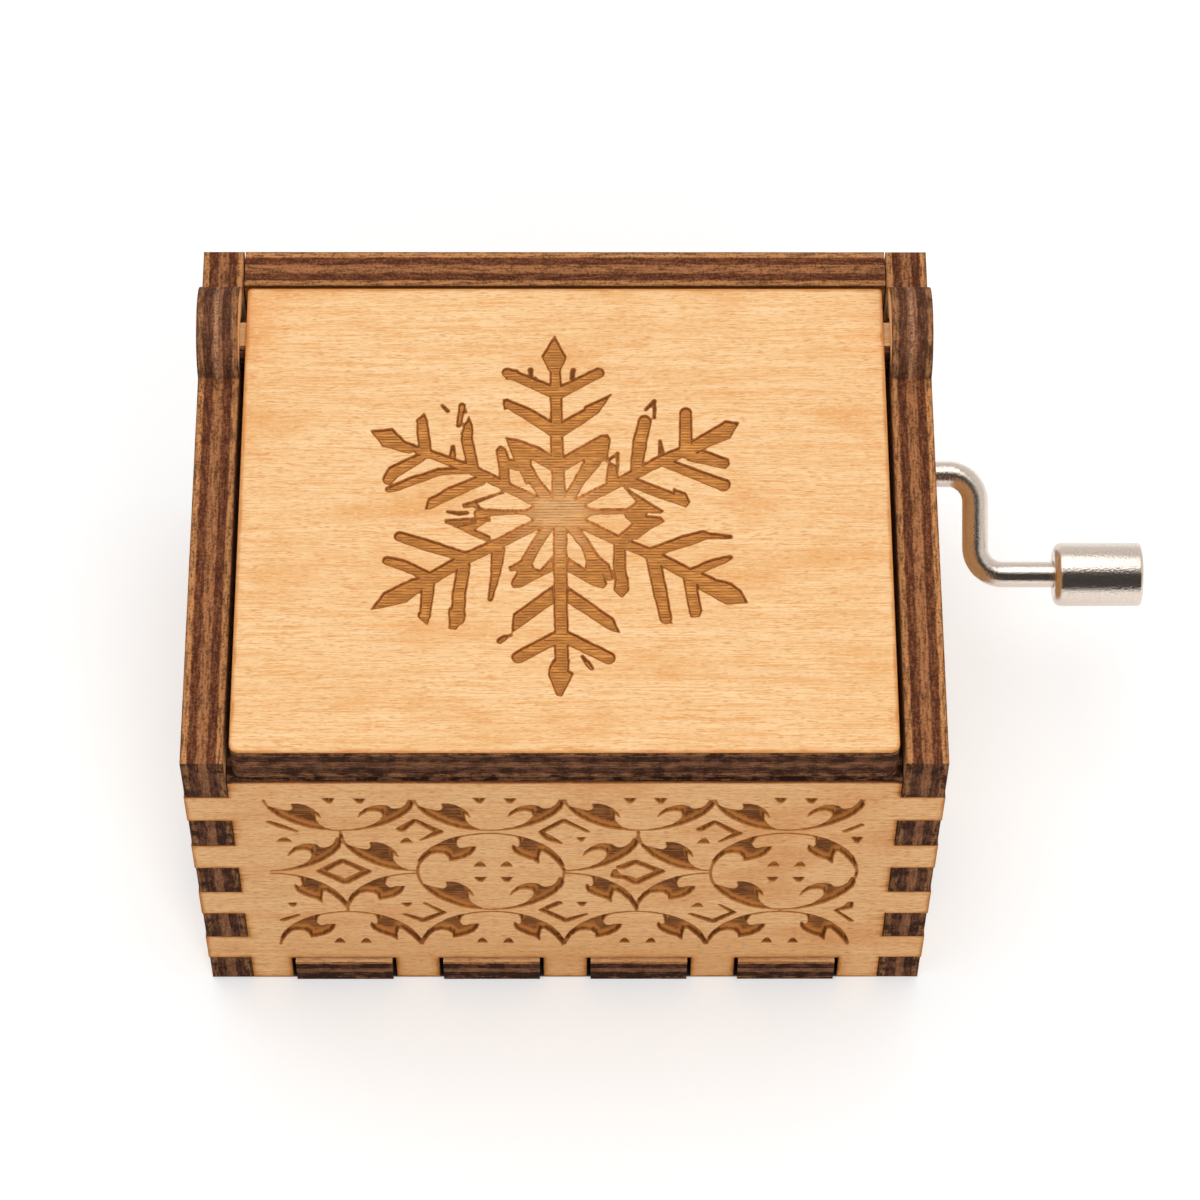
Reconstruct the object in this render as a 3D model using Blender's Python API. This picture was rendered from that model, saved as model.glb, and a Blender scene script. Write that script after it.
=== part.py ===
"""Hand-cranked music box: a laser-cut plywood case with a hinged lid, and inside it a pinned
cylinder that a worm on the crank shaft turns against an 18-note steel comb.

Frame: origin at the middle of the case's underside, +X to the crank, +Y to the back, +Z up.
Lengths are metres, written in millimetres times mm."""
import math
import random

import bmesh
import bpy
from mathutils import Matrix, Vector

mm = 0.001

# Plywood case
case_width = 64.0 * mm           # over the two side panels
case_depth = 51.3 * mm           # over the front and back panels
side_height = 41.3 * mm
front_drop = 3.1 * mm            # front panel's top edge below that of the sides
ply = 3.6 * mm                   # thickness of every case panel
cut_gap = 0.1 * mm               # what the cutter leaves free at each side of a finger
corner_finger_height = 4.25 * mm
corner_finger_pitch = 8.95 * mm
corner_finger_first = 4.1 * mm   # lowest finger's underside
corner_finger_count = 4
finger_proud = 0.1 * mm          # how far the front panel's fingers stand out of the sides
notch_width = 9.4 * mm
notch_height = 3.95 * mm
notch_pitch = 13.3 * mm
notches_across = 4               # along the front and the back
notches_deep = 3                 # along each side
tab_play = 0.35 * mm             # each side of a bottom tab in its notch
tab_proud = 0.25 * mm

# Carving on the front panel: leaves on a lattice of ovals
carving_depth = 0.6 * mm
carving_columns = 4
oval_pitch_share = 0.1988        # pitch of the ovals, of the case's width
oval_shift_share = -0.0011       # middle of the lattice off the case's middle, of its width
oval_height_share = 0.1929       # half an oval's height, of the front panel's
oval_row_share = 0.1995          # half the pitch of the rows, of the front panel's height
carving_middle_share = 0.5564    # the full row's height on the front panel
carving_top_share = 0.9383       # the same for the half row along its top
carving_bottom_share = 0.1588
top_row_share = 0.90             # height of the half row along the top, of a full oval's

# Lid and its pivot
lid_thickness = 4.3 * mm
lid_side_gap = 0.55 * mm
lid_front_setback = 0.25 * mm
lid_rear_gap = 1.25 * mm         # to the inside of the back panel
lid_rest_gap = 0.2 * mm          # above the front panel's top edge
lid_corner_radius = 0.4 * mm
pivot_from_back = 9.45 * mm      # behind the pivot to the outside of the back panel
lobe_from_back = 8.95 * mm       # the same for the lobes' centre
pivot_tab_width = 3.9 * mm
pivot_tab_setback = 0.3 * mm     # tab's end inside the side panel's outer face
pivot_tab_inset = 0.25 * mm      # tab's top and underside inside the lid's
pivot_tab_chamfer = 0.75 * mm
pivot_tab_root = 1.0 * mm        # how far the tab reaches into the lid's board
pivot_play = 0.18 * mm
lobe_radius = 4.35 * mm

# Crank, bent from one rod, and its knob
rod_radius = 1.18 * mm
crank_from_back = 10.95 * mm     # crank axis to the outside of the back panel
crank_hole_play = 0.8 * mm
crank_arm_standoff = 5.4 * mm    # side panel's outer face to the arm's middle
crank_throw = 9.15 * mm
crank_arm_drop = math.radians(30)
crank_bend_radius = 2.5 * mm
crank_grip_reach = 15.1 * mm     # arm's middle to the knob's end
knob_radius = 2.9 * mm
knob_length = 8.0 * mm
knob_edge = 0.35 * mm
knob_end_wall = 1.2 * mm
turn_gap = 0.12 * mm             # round a shaft in its bearing

# Worm drive
gear_module = 0.5 * mm
wheel_teeth = 20
wheel_width = 3.0 * mm
wheel_hub_radius = 2.2 * mm
wheel_hub_length = 2.25 * mm     # the wheel's face to the cylinder
worm_radius = 2.4 * mm           # at the pitch line
worm_length = 9.2 * mm
tooth_ease = 0.14 * mm           # taken off each flank of the wheel's teeth
thread_ease = 0.05 * mm          # taken off each flank of the worm's thread
root_ease = 0.1 * mm
press_gap = 0.1 * mm             # between pieces pushed onto a shaft or screwed down
end_gap = 0.3 * mm               # between faces that turn past each other

# Pinned cylinder
notes = 18
note_pitch = 1.15 * mm
cylinder_from_middle = 7.0 * mm  # cylinder axis to the right of the case's middle
cylinder_radius = 6.5 * mm
cylinder_wall = 0.5 * mm
cylinder_margin = 0.5 * mm       # past the outer notes
cylinder_floor_gap = 0.7 * mm    # the pins' circle above the bedplate
cap_thickness = 0.8 * mm
arbor_radius = 1.0 * mm
arbor_overhang = 0.5 * mm
pin_radius = 0.27 * mm
pin_height = 0.7 * mm
beats = 30                       # places for a pin round the cylinder
pin_share = 0.17                 # how many of those places hold a pin

# Comb
comb_length = 20.0 * mm
comb_screw_share = 0.62          # how far out the screws sit, as a share of half the comb
comb_thickness = 1.9 * mm
tine_thickness = 0.7 * mm
tine_gap = 0.35 * mm
bass_tine = 14.0 * mm
treble_tine = 8.5 * mm
tip_clearance = 0.25 * mm        # comb tips to the pins' circle
weighted_tines = 8
tine_weight_length = 1.5 * mm
tine_weight_depth = 1.4 * mm
tine_weight_setback = 0.5 * mm
root_step = 1.0 * mm             # from the tines' roots to the thick part

# Cast bedplate and the bent bracket that holds the drive
bedplate_thickness = 1.6 * mm
bedplate_feet = 0.9 * mm
bedplate_corner = 2.0 * mm
foot_radius = 3.0 * mm
seat_depth = 6.2 * mm            # comb seat, front to back under the comb's root
bedplate_overhang = 1.2 * mm
bearing_wall = 1.3 * mm
bearing_head_radius = 2.6 * mm
bearing_foot = 4.4 * mm          # half the width of the bearing wall at the plate
bracket_sheet = 1.2 * mm
bracket_ear_rim = 1.6 * mm       # ear's metal round the shaft hole
bracket_foot = 5.6 * mm          # reaches forward under the worm wheel
bracket_waist = 4.0 * mm         # half the width of its narrow middle
bracket_flare = 2.0 * mm         # height of its straight foot, and of the slope under the ears
bracket_taper = 3.0 * mm         # height over which it narrows
seat_foot = 1.2 * mm             # the comb seat's wider base
seat_foot_rise = 2.5 * mm
union_overlap = 0.3 * mm         # how far shapes that are one casting reach into each other
collar_radius = 2.2 * mm
collar_width = 1.4 * mm

# Screws
screw_radius = 0.95 * mm
screw_head_radius = 1.75 * mm
screw_head_height = 1.1 * mm
screw_length = 4.2 * mm
screw_slot = 0.45 * mm
case_screw_head_radius = 2.3 * mm
case_screw_inset = 0.15 * mm

round_steps = 24
small_steps = 16

# Leaf outlines, as shares of an oval's half width and half height from its centre
leaf_outlines = {
    "low_left": [(-0.909, -0.34), (-0.677, -0.449), (-0.622, -0.259), (-0.441, -0.299), (-0.276, -0.531),
                 (-0.323, -0.707), (-0.22, -0.912), (-0.409, -0.925), (-0.724, -0.694), (-0.85, -0.531)],
    "low_right": [(0.268, -0.585), (0.362, -0.388), (0.567, -0.293), (0.724, -0.401), (0.898, -0.286),
                  (0.961, -0.367), (0.74, -0.707), (0.504, -0.864), (0.583, -0.626), (0.52, -0.469), (0.362, -0.476)],
    "top_left": [(-0.457, 0.884), (-0.449, 0.68), (-0.197, 0.653), (-0.268, 0.449), (-0.551, 0.293),
                 (-0.646, 0.483), (-0.835, 0.449), (-0.945, 0.299), (-0.913, 0.463), (-0.693, 0.735)],
    "top_right": [(0.402, 0.898), (0.378, 0.626), (0.331, 0.51), (0.583, 0.313), (0.693, 0.524),
                  (0.787, 0.449), (0.937, 0.19), (0.961, 0.313), (0.693, 0.707), (0.52, 0.83)],
}

# Places worked out from the sizes above
half_width = case_width / 2
half_depth = case_depth / 2
inner_half_width = half_width - ply
inner_half_depth = half_depth - ply
front_height = side_height - front_drop
lid_base = front_height + lid_rest_gap
pivot = Vector((0, half_depth - pivot_from_back, lid_base + lid_thickness / 2))
pivot_tab_half_height = lid_thickness / 2 - pivot_tab_inset
pivot_hole_radius = max(math.hypot(pivot_tab_width / 2, pivot_tab_half_height - pivot_tab_chamfer),
                        math.hypot(pivot_tab_width / 2 - pivot_tab_chamfer, pivot_tab_half_height)) + pivot_play
lobe_middle = half_depth - lobe_from_back

wheel_radius = gear_module * wheel_teeth / 2
thread_pitch = math.pi * gear_module
tooth_addendum = gear_module
tooth_dedendum = gear_module + root_ease
pin_circle = cylinder_radius + pin_height
plate_base = ply + press_gap + bedplate_feet
plate_top = plate_base + bedplate_thickness
cylinder_height = plate_top + cylinder_floor_gap + pin_circle
crank_axis = Vector((0, half_depth - crank_from_back, cylinder_height + wheel_radius + worm_radius))
cylinder_half = notes * note_pitch / 2 + cylinder_margin
cylinder_to_crank = cylinder_half + press_gap + wheel_hub_length + wheel_width / 2
cylinder_axis = Vector((cylinder_from_middle, crank_axis.y - cylinder_to_crank, cylinder_height))

wheel_front = crank_axis.y - wheel_width / 2
wheel_back = crank_axis.y + wheel_width / 2
bracket_front = crank_axis.y + worm_radius + tooth_addendum + end_gap
bracket_back = bracket_front + bracket_sheet
ear_inner = worm_length / 2 + end_gap
ear_outer = ear_inner + bracket_sheet
bearing_back = cylinder_axis.y - cylinder_half - end_gap
bearing_front = bearing_back - bearing_wall

comb_base = cylinder_axis.z - tine_thickness / 2
seat_top = comb_base - press_gap
comb_tip = cylinder_axis.x - pin_circle - tip_clearance
comb_back = comb_tip - comb_length
seat_middle = comb_back + seat_depth / 2
comb_front = cylinder_axis.y - cylinder_half
comb_rear = cylinder_axis.y + cylinder_half

arm_x = half_width + crank_arm_standoff
arm_way = Vector((0, -math.cos(crank_arm_drop), -math.sin(crank_arm_drop)))
grip_axis = crank_axis + arm_way * crank_throw
knob_end = arm_x + crank_grip_reach
knob_start = knob_end - knob_length


def clear_scene():
    for old in list(bpy.data.objects):
        bpy.data.objects.remove(old, do_unlink=True)


def material(name, colour, roughness, metallic):
    made = bpy.data.materials.new(name)
    made.use_nodes = True
    shader = made.node_tree.nodes["Principled BSDF"]
    shader.inputs["Base Color"].default_value = (*colour, 1)
    shader.inputs["Roughness"].default_value = roughness
    shader.inputs["Metallic"].default_value = metallic
    return made


def birch(name):
    return material(name, (0.72, 0.50, 0.27), 0.55, 0)


def zinc(name):
    return material(name, (0.55, 0.55, 0.56), 0.42, 1)


def brass(name):
    return material(name, (0.76, 0.58, 0.26), 0.3, 1)


def steel(name):
    return material(name, (0.66, 0.65, 0.63), 0.22, 1)


def joint_empty(name, place):
    """An empty on a joint's axis, which the pieces that turn there have as parent."""
    axis = bpy.data.objects.new(name, None)
    axis.location = place
    axis.empty_display_size = 3 * mm
    bpy.context.collection.objects.link(axis)
    return axis


def finish(name, mesh, look, carrier=None, smooth=False):
    """Put a bmesh into the scene as one named object."""
    bmesh.ops.recalc_face_normals(mesh, faces=mesh.faces)
    data = bpy.data.meshes.new(name)
    mesh.to_mesh(data)
    mesh.free()
    if smooth:
        data.shade_smooth()
        data.set_sharp_from_angle(angle=math.radians(35))
    made = bpy.data.objects.new(name, data)
    made.data.materials.append(look(name))
    bpy.context.collection.objects.link(made)
    if carrier:
        made.parent = carrier
    return made


def loop_points(mesh, places):
    return [mesh.verts.new(place) for place in places]


def bridge(mesh, lower, upper):
    """Join two rings of the same count with a band of faces."""
    count = len(lower)
    for index in range(count):
        after = (index + 1) % count
        mesh.faces.new((lower[index], lower[after], upper[after], upper[index]))


def prism(outline, low, high, plane):
    """Extrude a flat outline; plane names its two axes, and the third is the way it grows."""
    order = {"xy": (0, 1, 2), "xz": (0, 2, 1), "yz": (1, 2, 0)}[plane]

    def at(point, depth):
        place = [0, 0, 0]
        place[order[0]] = point[0]
        place[order[1]] = point[1]
        place[order[2]] = depth
        return place

    mesh = bmesh.new()
    lower = loop_points(mesh, [at(point, low) for point in outline])
    upper = loop_points(mesh, [at(point, high) for point in outline])
    bridge(mesh, lower, upper)
    mesh.faces.new(lower)
    mesh.faces.new(upper)
    return mesh


def turned(profile, axis, steps=round_steps):
    """Turn a closed profile of (radius, place along the axis) points; radius 0 is on the axis."""
    along = {"x": Vector((1, 0, 0)), "y": Vector((0, 1, 0)), "z": Vector((0, 0, 1))}[axis]
    across = Vector((0, 0, 1)) if axis != "z" else Vector((1, 0, 0))
    side = along.cross(across)
    mesh = bmesh.new()
    rings = []
    for radius, place in profile:
        if radius == 0:
            rings.append([mesh.verts.new(along * place)])
            continue
        turns = [2 * math.pi * step / steps for step in range(steps)]
        rings.append(loop_points(mesh, [along * place + across * radius * math.cos(turn)
                                        + side * radius * math.sin(turn) for turn in turns]))
    for ring, after in zip(rings, rings[1:] + rings[:1]):
        if len(ring) == 1 and len(after) == 1:
            continue
        if len(ring) == 1 or len(after) == 1:
            hub, rim = (ring, after) if len(ring) == 1 else (after, ring)
            for index in range(steps):
                mesh.faces.new((hub[0], rim[index], rim[(index + 1) % steps]))
        else:
            bridge(mesh, ring, after)
    return mesh


def moved(mesh, place):
    bmesh.ops.translate(mesh, vec=Vector(place), verts=mesh.verts)
    return mesh


def joined(*meshes):
    """Put several bmeshes into one."""
    whole = meshes[0]
    for mesh in meshes[1:]:
        data = bpy.data.meshes.new("joined")
        mesh.to_mesh(data)
        mesh.free()
        whole.from_mesh(data)
        bpy.data.meshes.remove(data)
    return whole


def arc(centre, radius, start, end, steps):
    """Points of an arc from one angle to another, in degrees."""
    turns = [math.radians(start + (end - start) * step / steps) for step in range(steps + 1)]
    return [(centre[0] + radius * math.cos(turn), centre[1] + radius * math.sin(turn)) for turn in turns]


def rounded_box(left, right, front, back, radius, steps=4):
    corners = [((right - radius, front + radius), -90), ((right - radius, back - radius), 0),
               ((left + radius, back - radius), 90), ((left + radius, front + radius), 180)]
    return [point for centre, start in corners for point in arc(centre, radius, start, start + 90, steps)]


def shape_with(target, name, mesh, operation, carrier=None):
    """Cut or join a helper shape into a piece with an exact Boolean."""
    bmesh.ops.recalc_face_normals(mesh, faces=mesh.faces)
    data = bpy.data.meshes.new(name)
    mesh.to_mesh(data)
    mesh.free()
    helper = bpy.data.objects.new(name, data)
    helper.hide_render = True
    helper.display_type = "WIRE"
    bpy.context.collection.objects.link(helper)
    if carrier:
        helper.parent = carrier
    change = target.modifiers.new(name, "BOOLEAN")
    change.operation = operation
    change.solver = "EXACT"
    change.object = helper


def stepped_edge(start, end, spans, step):
    """Points along a straight edge that steps sideways by the vector step within each span."""
    length = math.dist(start, end)
    way = ((end[0] - start[0]) / length, (end[1] - start[1]) / length)
    points = []
    for low, high in spans:
        for distance, out in ((low, False), (low, True), (high, True), (high, False)):
            shift = step if out else (0, 0)
            points.append((start[0] + way[0] * distance + shift[0], start[1] + way[1] * distance + shift[1]))
    return points


def finger_spans():
    lows = [corner_finger_first + corner_finger_pitch * index for index in range(corner_finger_count)]
    return [(low, low + corner_finger_height) for low in lows]


def notch_centres(count):
    return [(index - (count - 1) / 2) * notch_pitch for index in range(count)]


def end_panel_outline(height):
    """Front or back panel, seen from the front: corner fingers up both edges, notches below."""
    core = inner_half_width - cut_gap
    reach = half_width + finger_proud - core
    notches = [(core + middle - notch_width / 2, core + middle + notch_width / 2)
               for middle in notch_centres(notches_across)]
    up = stepped_edge((core, 0), (core, height), finger_spans(), (reach, 0))
    down = [(-x, z) for x, z in reversed(up)]
    under = stepped_edge((-core, 0), (core, 0), notches, (0, notch_height))
    return under + [(core, 0)] + up + [(core, height), (-core, height)] + down + [(-core, 0)]


def side_outline():
    """Side panel: its fingers fill what the end panels leave, and the lobe stands on its top edge."""
    core = inner_half_depth - cut_gap
    reach = half_depth - core
    tops = [0] + [high + cut_gap for low, high in finger_spans()]
    bottoms = [low - cut_gap for low, high in finger_spans()] + [side_height]
    back_edge = []
    for low, high in zip(tops, bottoms):
        back_edge += [(core + reach, low), (core + reach, high), (core, high)]
        if high < side_height:
            back_edge.append((core, high + corner_finger_height + 2 * cut_gap))
    back_edge = back_edge[:-1]
    front_edge = [(-y, z) for y, z in reversed(back_edge)]
    notches = [(half_depth + middle - notch_width / 2, half_depth + middle + notch_width / 2)
               for middle in notch_centres(notches_deep)]
    under = stepped_edge((-half_depth, 0), (half_depth, 0), notches, (0, notch_height))
    lobe = arc((lobe_middle, side_height), lobe_radius, 0, 180, 16)
    return under + back_edge + lobe + front_edge


def bottom_outline():
    wide = inner_half_width - cut_gap
    deep = inner_half_depth - cut_gap
    tab = notch_width / 2 - tab_play
    across = [(wide + middle - tab, wide + middle + tab) for middle in notch_centres(notches_across)]
    along = [(deep + middle - tab, deep + middle + tab) for middle in notch_centres(notches_deep)]
    out_y = half_depth + tab_proud - deep
    out_x = half_width + tab_proud - wide
    front = stepped_edge((-wide, -deep), (wide, -deep), across, (0, -out_y))
    right = stepped_edge((wide, -deep), (wide, deep), along, (out_x, 0))
    back = [(-x, -y) for x, y in front]
    left = [(-x, -y) for x, y in right]
    return [(-wide, -deep)] + front + [(wide, -deep)] + right + [(wide, deep)] + back + [(-wide, deep)] + left


def movement_screw_places():
    """The three feet: two under the comb seat, one under the cylinder."""
    return [(seat_middle, comb_front + foot_radius), (seat_middle, comb_rear - foot_radius),
            (cylinder_axis.x + 2 * foot_radius, cylinder_axis.y)]


def carved_leaves():
    """Which leaf stands on which oval: every centre that the lattice has, with the row's squash."""
    pitch = case_width * oval_pitch_share
    shift = case_width * oval_shift_share
    middle = front_height * carving_middle_share
    rise = front_height * oval_row_share
    placed = []
    for column in range(carving_columns):
        x = shift + (column - (carving_columns - 1) / 2) * pitch
        for side, way in (("left", 1), ("right", -1)):
            placed.append(("low_" + side, x, front_height * carving_top_share, top_row_share))
            placed.append(("top_" + side, x, front_height * carving_bottom_share, 1))
            if column % 2:
                placed += [("low_" + side, x, middle, 1), ("top_" + side, x, middle, 1)]
            else:
                placed.append(("low_" + side, x + way * pitch / 2, middle + rise, 1))
                placed.append(("top_" + side, x + way * pitch / 2, middle - rise, 1))
    return placed


def carve_front(panel):
    """All the leaves are cut to one depth with one cutter."""
    wide = case_width * oval_pitch_share / 2
    high = front_height * oval_height_share
    cutters = []
    for leaf, x, z, squash in carved_leaves():
        outline = [(x + wide * across, z + squash * high * up) for across, up in leaf_outlines[leaf]]
        cutters.append(prism(outline, -half_depth - ply, -half_depth + carving_depth, "xz"))
    shape_with(panel, "front_carving", joined(*cutters), "DIFFERENCE")


def make_case():
    bottom = finish("bottom_panel", prism(bottom_outline(), 0, ply, "xy"), birch)
    recess = case_screw_inset + screw_head_height + press_gap
    for number, (x, y) in enumerate(movement_screw_places(), 1):
        hole = turned([(0, -ply), (case_screw_head_radius + 2 * press_gap, -ply),
                       (case_screw_head_radius + 2 * press_gap, recess),
                       (screw_radius + 2 * press_gap, recess),
                       (screw_radius + 2 * press_gap, 2 * ply), (0, 2 * ply)], "z", small_steps)
        shape_with(bottom, "foot_hole_%d" % number, moved(hole, (x, y, 0)), "DIFFERENCE")
    front = finish("front_panel", prism(end_panel_outline(front_height), -half_depth, -inner_half_depth, "xz"),
                   birch)
    carve_front(front)
    finish("back_panel", prism(end_panel_outline(side_height), inner_half_depth, half_depth, "xz"), birch)
    for name, low, high in (("left_side_panel", -half_width, -inner_half_width),
                            ("right_side_panel", inner_half_width, half_width)):
        side = finish(name, prism(side_outline(), low, high, "yz"), birch)
        pivot_hole = turned([(0, low - ply), (pivot_hole_radius, low - ply),
                             (pivot_hole_radius, high + ply), (0, high + ply)], "x")
        shape_with(side, name + "_pivot_hole", moved(pivot_hole, pivot), "DIFFERENCE")
        if low > 0:
            radius = rod_radius + crank_hole_play
            shaft_hole = turned([(0, low - ply), (radius, low - ply), (radius, high + ply), (0, high + ply)], "x")
            shape_with(side, "crank_hole", moved(shaft_hole, crank_axis), "DIFFERENCE")


def make_lid():
    """The lid is one board; a tab on each side goes into the round hole in the side's lobe."""
    hinge = joint_empty("lid_axis", pivot)
    side = inner_half_width - lid_side_gap
    front = -half_depth + lid_front_setback - pivot.y
    back = inner_half_depth - lid_rear_gap - pivot.y
    tab = half_width - pivot_tab_setback
    corners = rounded_box(-side, side, front, back, lid_corner_radius)
    lid = finish("lid_panel", prism(corners, -lid_thickness / 2, lid_thickness / 2, "xy"), birch, hinge)
    wide, high, cut = pivot_tab_width / 2, pivot_tab_half_height, pivot_tab_chamfer
    section = [(-wide, cut - high), (cut - wide, -high), (wide - cut, -high), (wide, cut - high),
               (wide, high - cut), (wide - cut, high), (cut - wide, high), (-wide, high - cut)]
    for name, low, high_end in (("left_tab", -tab, pivot_tab_root - side), ("right_tab", side - pivot_tab_root, tab)):
        shape_with(lid, name, prism(section, low, high_end, "yz"), "UNION", hinge)


def slotted_screw(name, place, head_radius, length, upward=False):
    """A cheese-head screw; its shank runs down from the head, or up where it goes in from below."""
    way = -1 if upward else 1
    profile = [(0, 0), (head_radius, 0), (head_radius, way * screw_head_height * 0.75),
               (head_radius - screw_head_height * 0.25, way * screw_head_height), (0, way * screw_head_height)]
    shank = [(screw_radius, -way * length), (screw_radius, 0)]
    profile = [(0, -way * length)] + shank + profile[1:]
    screw = finish(name, moved(turned(profile, "z", small_steps), place), steel, None, True)
    slot_low = way * screw_head_height * 0.5
    slot_high = way * screw_head_height * 1.5
    slot = prism([(-head_radius * 1.2, -screw_slot / 2), (head_radius * 1.2, -screw_slot / 2),
                  (head_radius * 1.2, screw_slot / 2), (-head_radius * 1.2, screw_slot / 2)],
                 min(slot_low, slot_high), max(slot_low, slot_high), "xy")
    shape_with(screw, name + "_slot", moved(slot, place), "DIFFERENCE")


def bracket_screw_places():
    middle = bracket_front - screw_head_radius - end_gap
    return [(cylinder_axis.x + side * (ear_outer - screw_head_radius), middle) for side in (-1, 1)]


def make_bedplate():
    """One zinc casting: plate, three feet, the comb's seat and the front bearing wall."""
    left = comb_back - bedplate_overhang
    right = cylinder_axis.x + 2 * foot_radius + foot_radius
    front = bearing_front - bedplate_overhang
    back = bracket_back + bedplate_overhang
    plate = prism(rounded_box(left, right, front, back, bedplate_corner), plate_base, plate_top, "xy")
    bedplate = finish("bedplate", plate, zinc)
    for number, (x, y) in enumerate(movement_screw_places(), 1):
        foot = turned([(0, ply + press_gap), (foot_radius, ply + press_gap),
                       (foot_radius, plate_base + union_overlap), (0, plate_base + union_overlap)], "z")
        shape_with(bedplate, "foot_%d" % number, moved(foot, (x, y, 0)), "UNION")
    seat_right = comb_back + seat_depth
    root = plate_top - union_overlap
    seat = prism([(comb_back, root), (seat_right + seat_foot, root), (seat_right, plate_top + seat_foot_rise),
                  (seat_right, seat_top), (comb_back, seat_top)],
                 comb_front, comb_rear, "xz")
    shape_with(bedplate, "comb_seat", seat, "UNION")
    head = arc((cylinder_axis.x, cylinder_axis.z), bearing_head_radius, 0, 180, 12)
    wall = prism([(cylinder_axis.x - bearing_foot, root), (cylinder_axis.x + bearing_foot, root)] + head,
                 bearing_front, bearing_back, "xz")
    shape_with(bedplate, "bearing_wall", wall, "UNION")
    bearing = arbor_radius + turn_gap
    hole = turned([(0, bearing_front - ply), (bearing, bearing_front - ply),
                   (bearing, bearing_back + ply), (0, bearing_back + ply)], "y")
    shape_with(bedplate, "front_bearing", moved(hole, (cylinder_axis.x, 0, cylinder_axis.z)), "DIFFERENCE")
    thread = screw_radius + press_gap
    for number, (x, y) in enumerate(comb_screw_places(), 1):
        hole = turned([(0, seat_top - screw_length), (thread, seat_top - screw_length),
                       (thread, seat_top + ply), (0, seat_top + ply)], "z", small_steps)
        shape_with(bedplate, "comb_thread_%d" % number, moved(hole, (x, y, 0)), "DIFFERENCE")
    for number, (x, y) in enumerate(bracket_screw_places(), 1):
        hole = turned([(0, -ply), (thread, -ply), (thread, plate_top + ply), (0, plate_top + ply)],
                      "z", small_steps)
        shape_with(bedplate, "bracket_thread_%d" % number, moved(hole, (x, y, 0)), "DIFFERENCE")
    top = case_screw_inset + screw_head_height + screw_length + press_gap
    for number, (x, y) in enumerate(movement_screw_places(), 1):
        hole = turned([(0, 0), (thread, 0), (thread, top), (0, top)], "z", small_steps)
        shape_with(bedplate, "foot_thread_%d" % number, moved(hole, (x, y, 0)), "DIFFERENCE")
    for number, (x, y) in enumerate(movement_screw_places(), 1):
        head = (x, y, case_screw_inset + screw_head_height)
        slotted_screw("movement_screw_%d" % number, head, case_screw_head_radius, screw_length, True)


def comb_screw_places():
    return [(seat_middle, cylinder_axis.y + side * cylinder_half * comb_screw_share) for side in (-1, 1)]


def tine_length(share):
    """Length of a tine at a share of the way from the bass end to the treble end."""
    return bass_tine + (treble_tine - bass_tine) * share


def make_comb():
    """A steel plate slit into eighteen tines, thinner than its root, with weights under the bass."""
    first = cylinder_axis.y - notes * note_pitch / 2
    starts = [first + note_pitch * index for index in range(notes)]
    tips = []
    for index, start in enumerate(starts):
        share = index / (notes - 1)
        tips += [(comb_tip, start + tine_gap / 2), (comb_tip, start + note_pitch - tine_gap / 2)]
        if index < notes - 1:
            root = comb_tip - tine_length(share)
            tips += [(root, start + note_pitch - tine_gap / 2), (root, start + note_pitch + tine_gap / 2)]
    bass_root = comb_tip - tine_length(0)
    treble_root = comb_tip - tine_length(1)
    low_edge = first + tine_gap / 2
    high_edge = first + notes * note_pitch - tine_gap / 2
    outline = ([(comb_back, comb_front), (bass_root, comb_front), (bass_root, low_edge)] + tips
               + [(treble_root, high_edge), (treble_root, comb_rear), (comb_back, comb_rear)])
    comb = finish("comb", prism(outline, comb_base, comb_base + tine_thickness, "xy"), steel)
    root = prism([(comb_back, comb_front), (bass_root - root_step, comb_front),
                  (treble_root - root_step, comb_rear), (comb_back, comb_rear)], comb_base + tine_thickness / 2, comb_base + comb_thickness, "xy")
    shape_with(comb, "comb_root", root, "UNION")
    for index in range(weighted_tines):
        low = starts[index] + tine_gap / 2
        length = tine_weight_length * (1 - index / (2 * weighted_tines))
        near = comb_tip - tine_weight_setback
        weight = prism([(near - length, low), (near, low), (near, low + note_pitch - tine_gap),
                        (near - length, low + note_pitch - tine_gap)],
                       comb_base - tine_weight_depth, comb_base + tine_thickness / 2, "xy")
        shape_with(comb, "tine_weight_%d" % (index + 1), weight, "UNION")
    clear = screw_radius + 2 * press_gap
    for number, (x, y) in enumerate(comb_screw_places(), 1):
        hole = turned([(0, seat_top), (clear, seat_top), (clear, seat_top + ply), (0, seat_top + ply)],
                      "z", small_steps)
        shape_with(comb, "comb_hole_%d" % number, moved(hole, (x, y, 0)), "DIFFERENCE")
        head = (x, y, comb_base + comb_thickness + press_gap)
        slotted_screw("comb_screw_%d" % number, head, screw_head_radius, screw_length)


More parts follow.
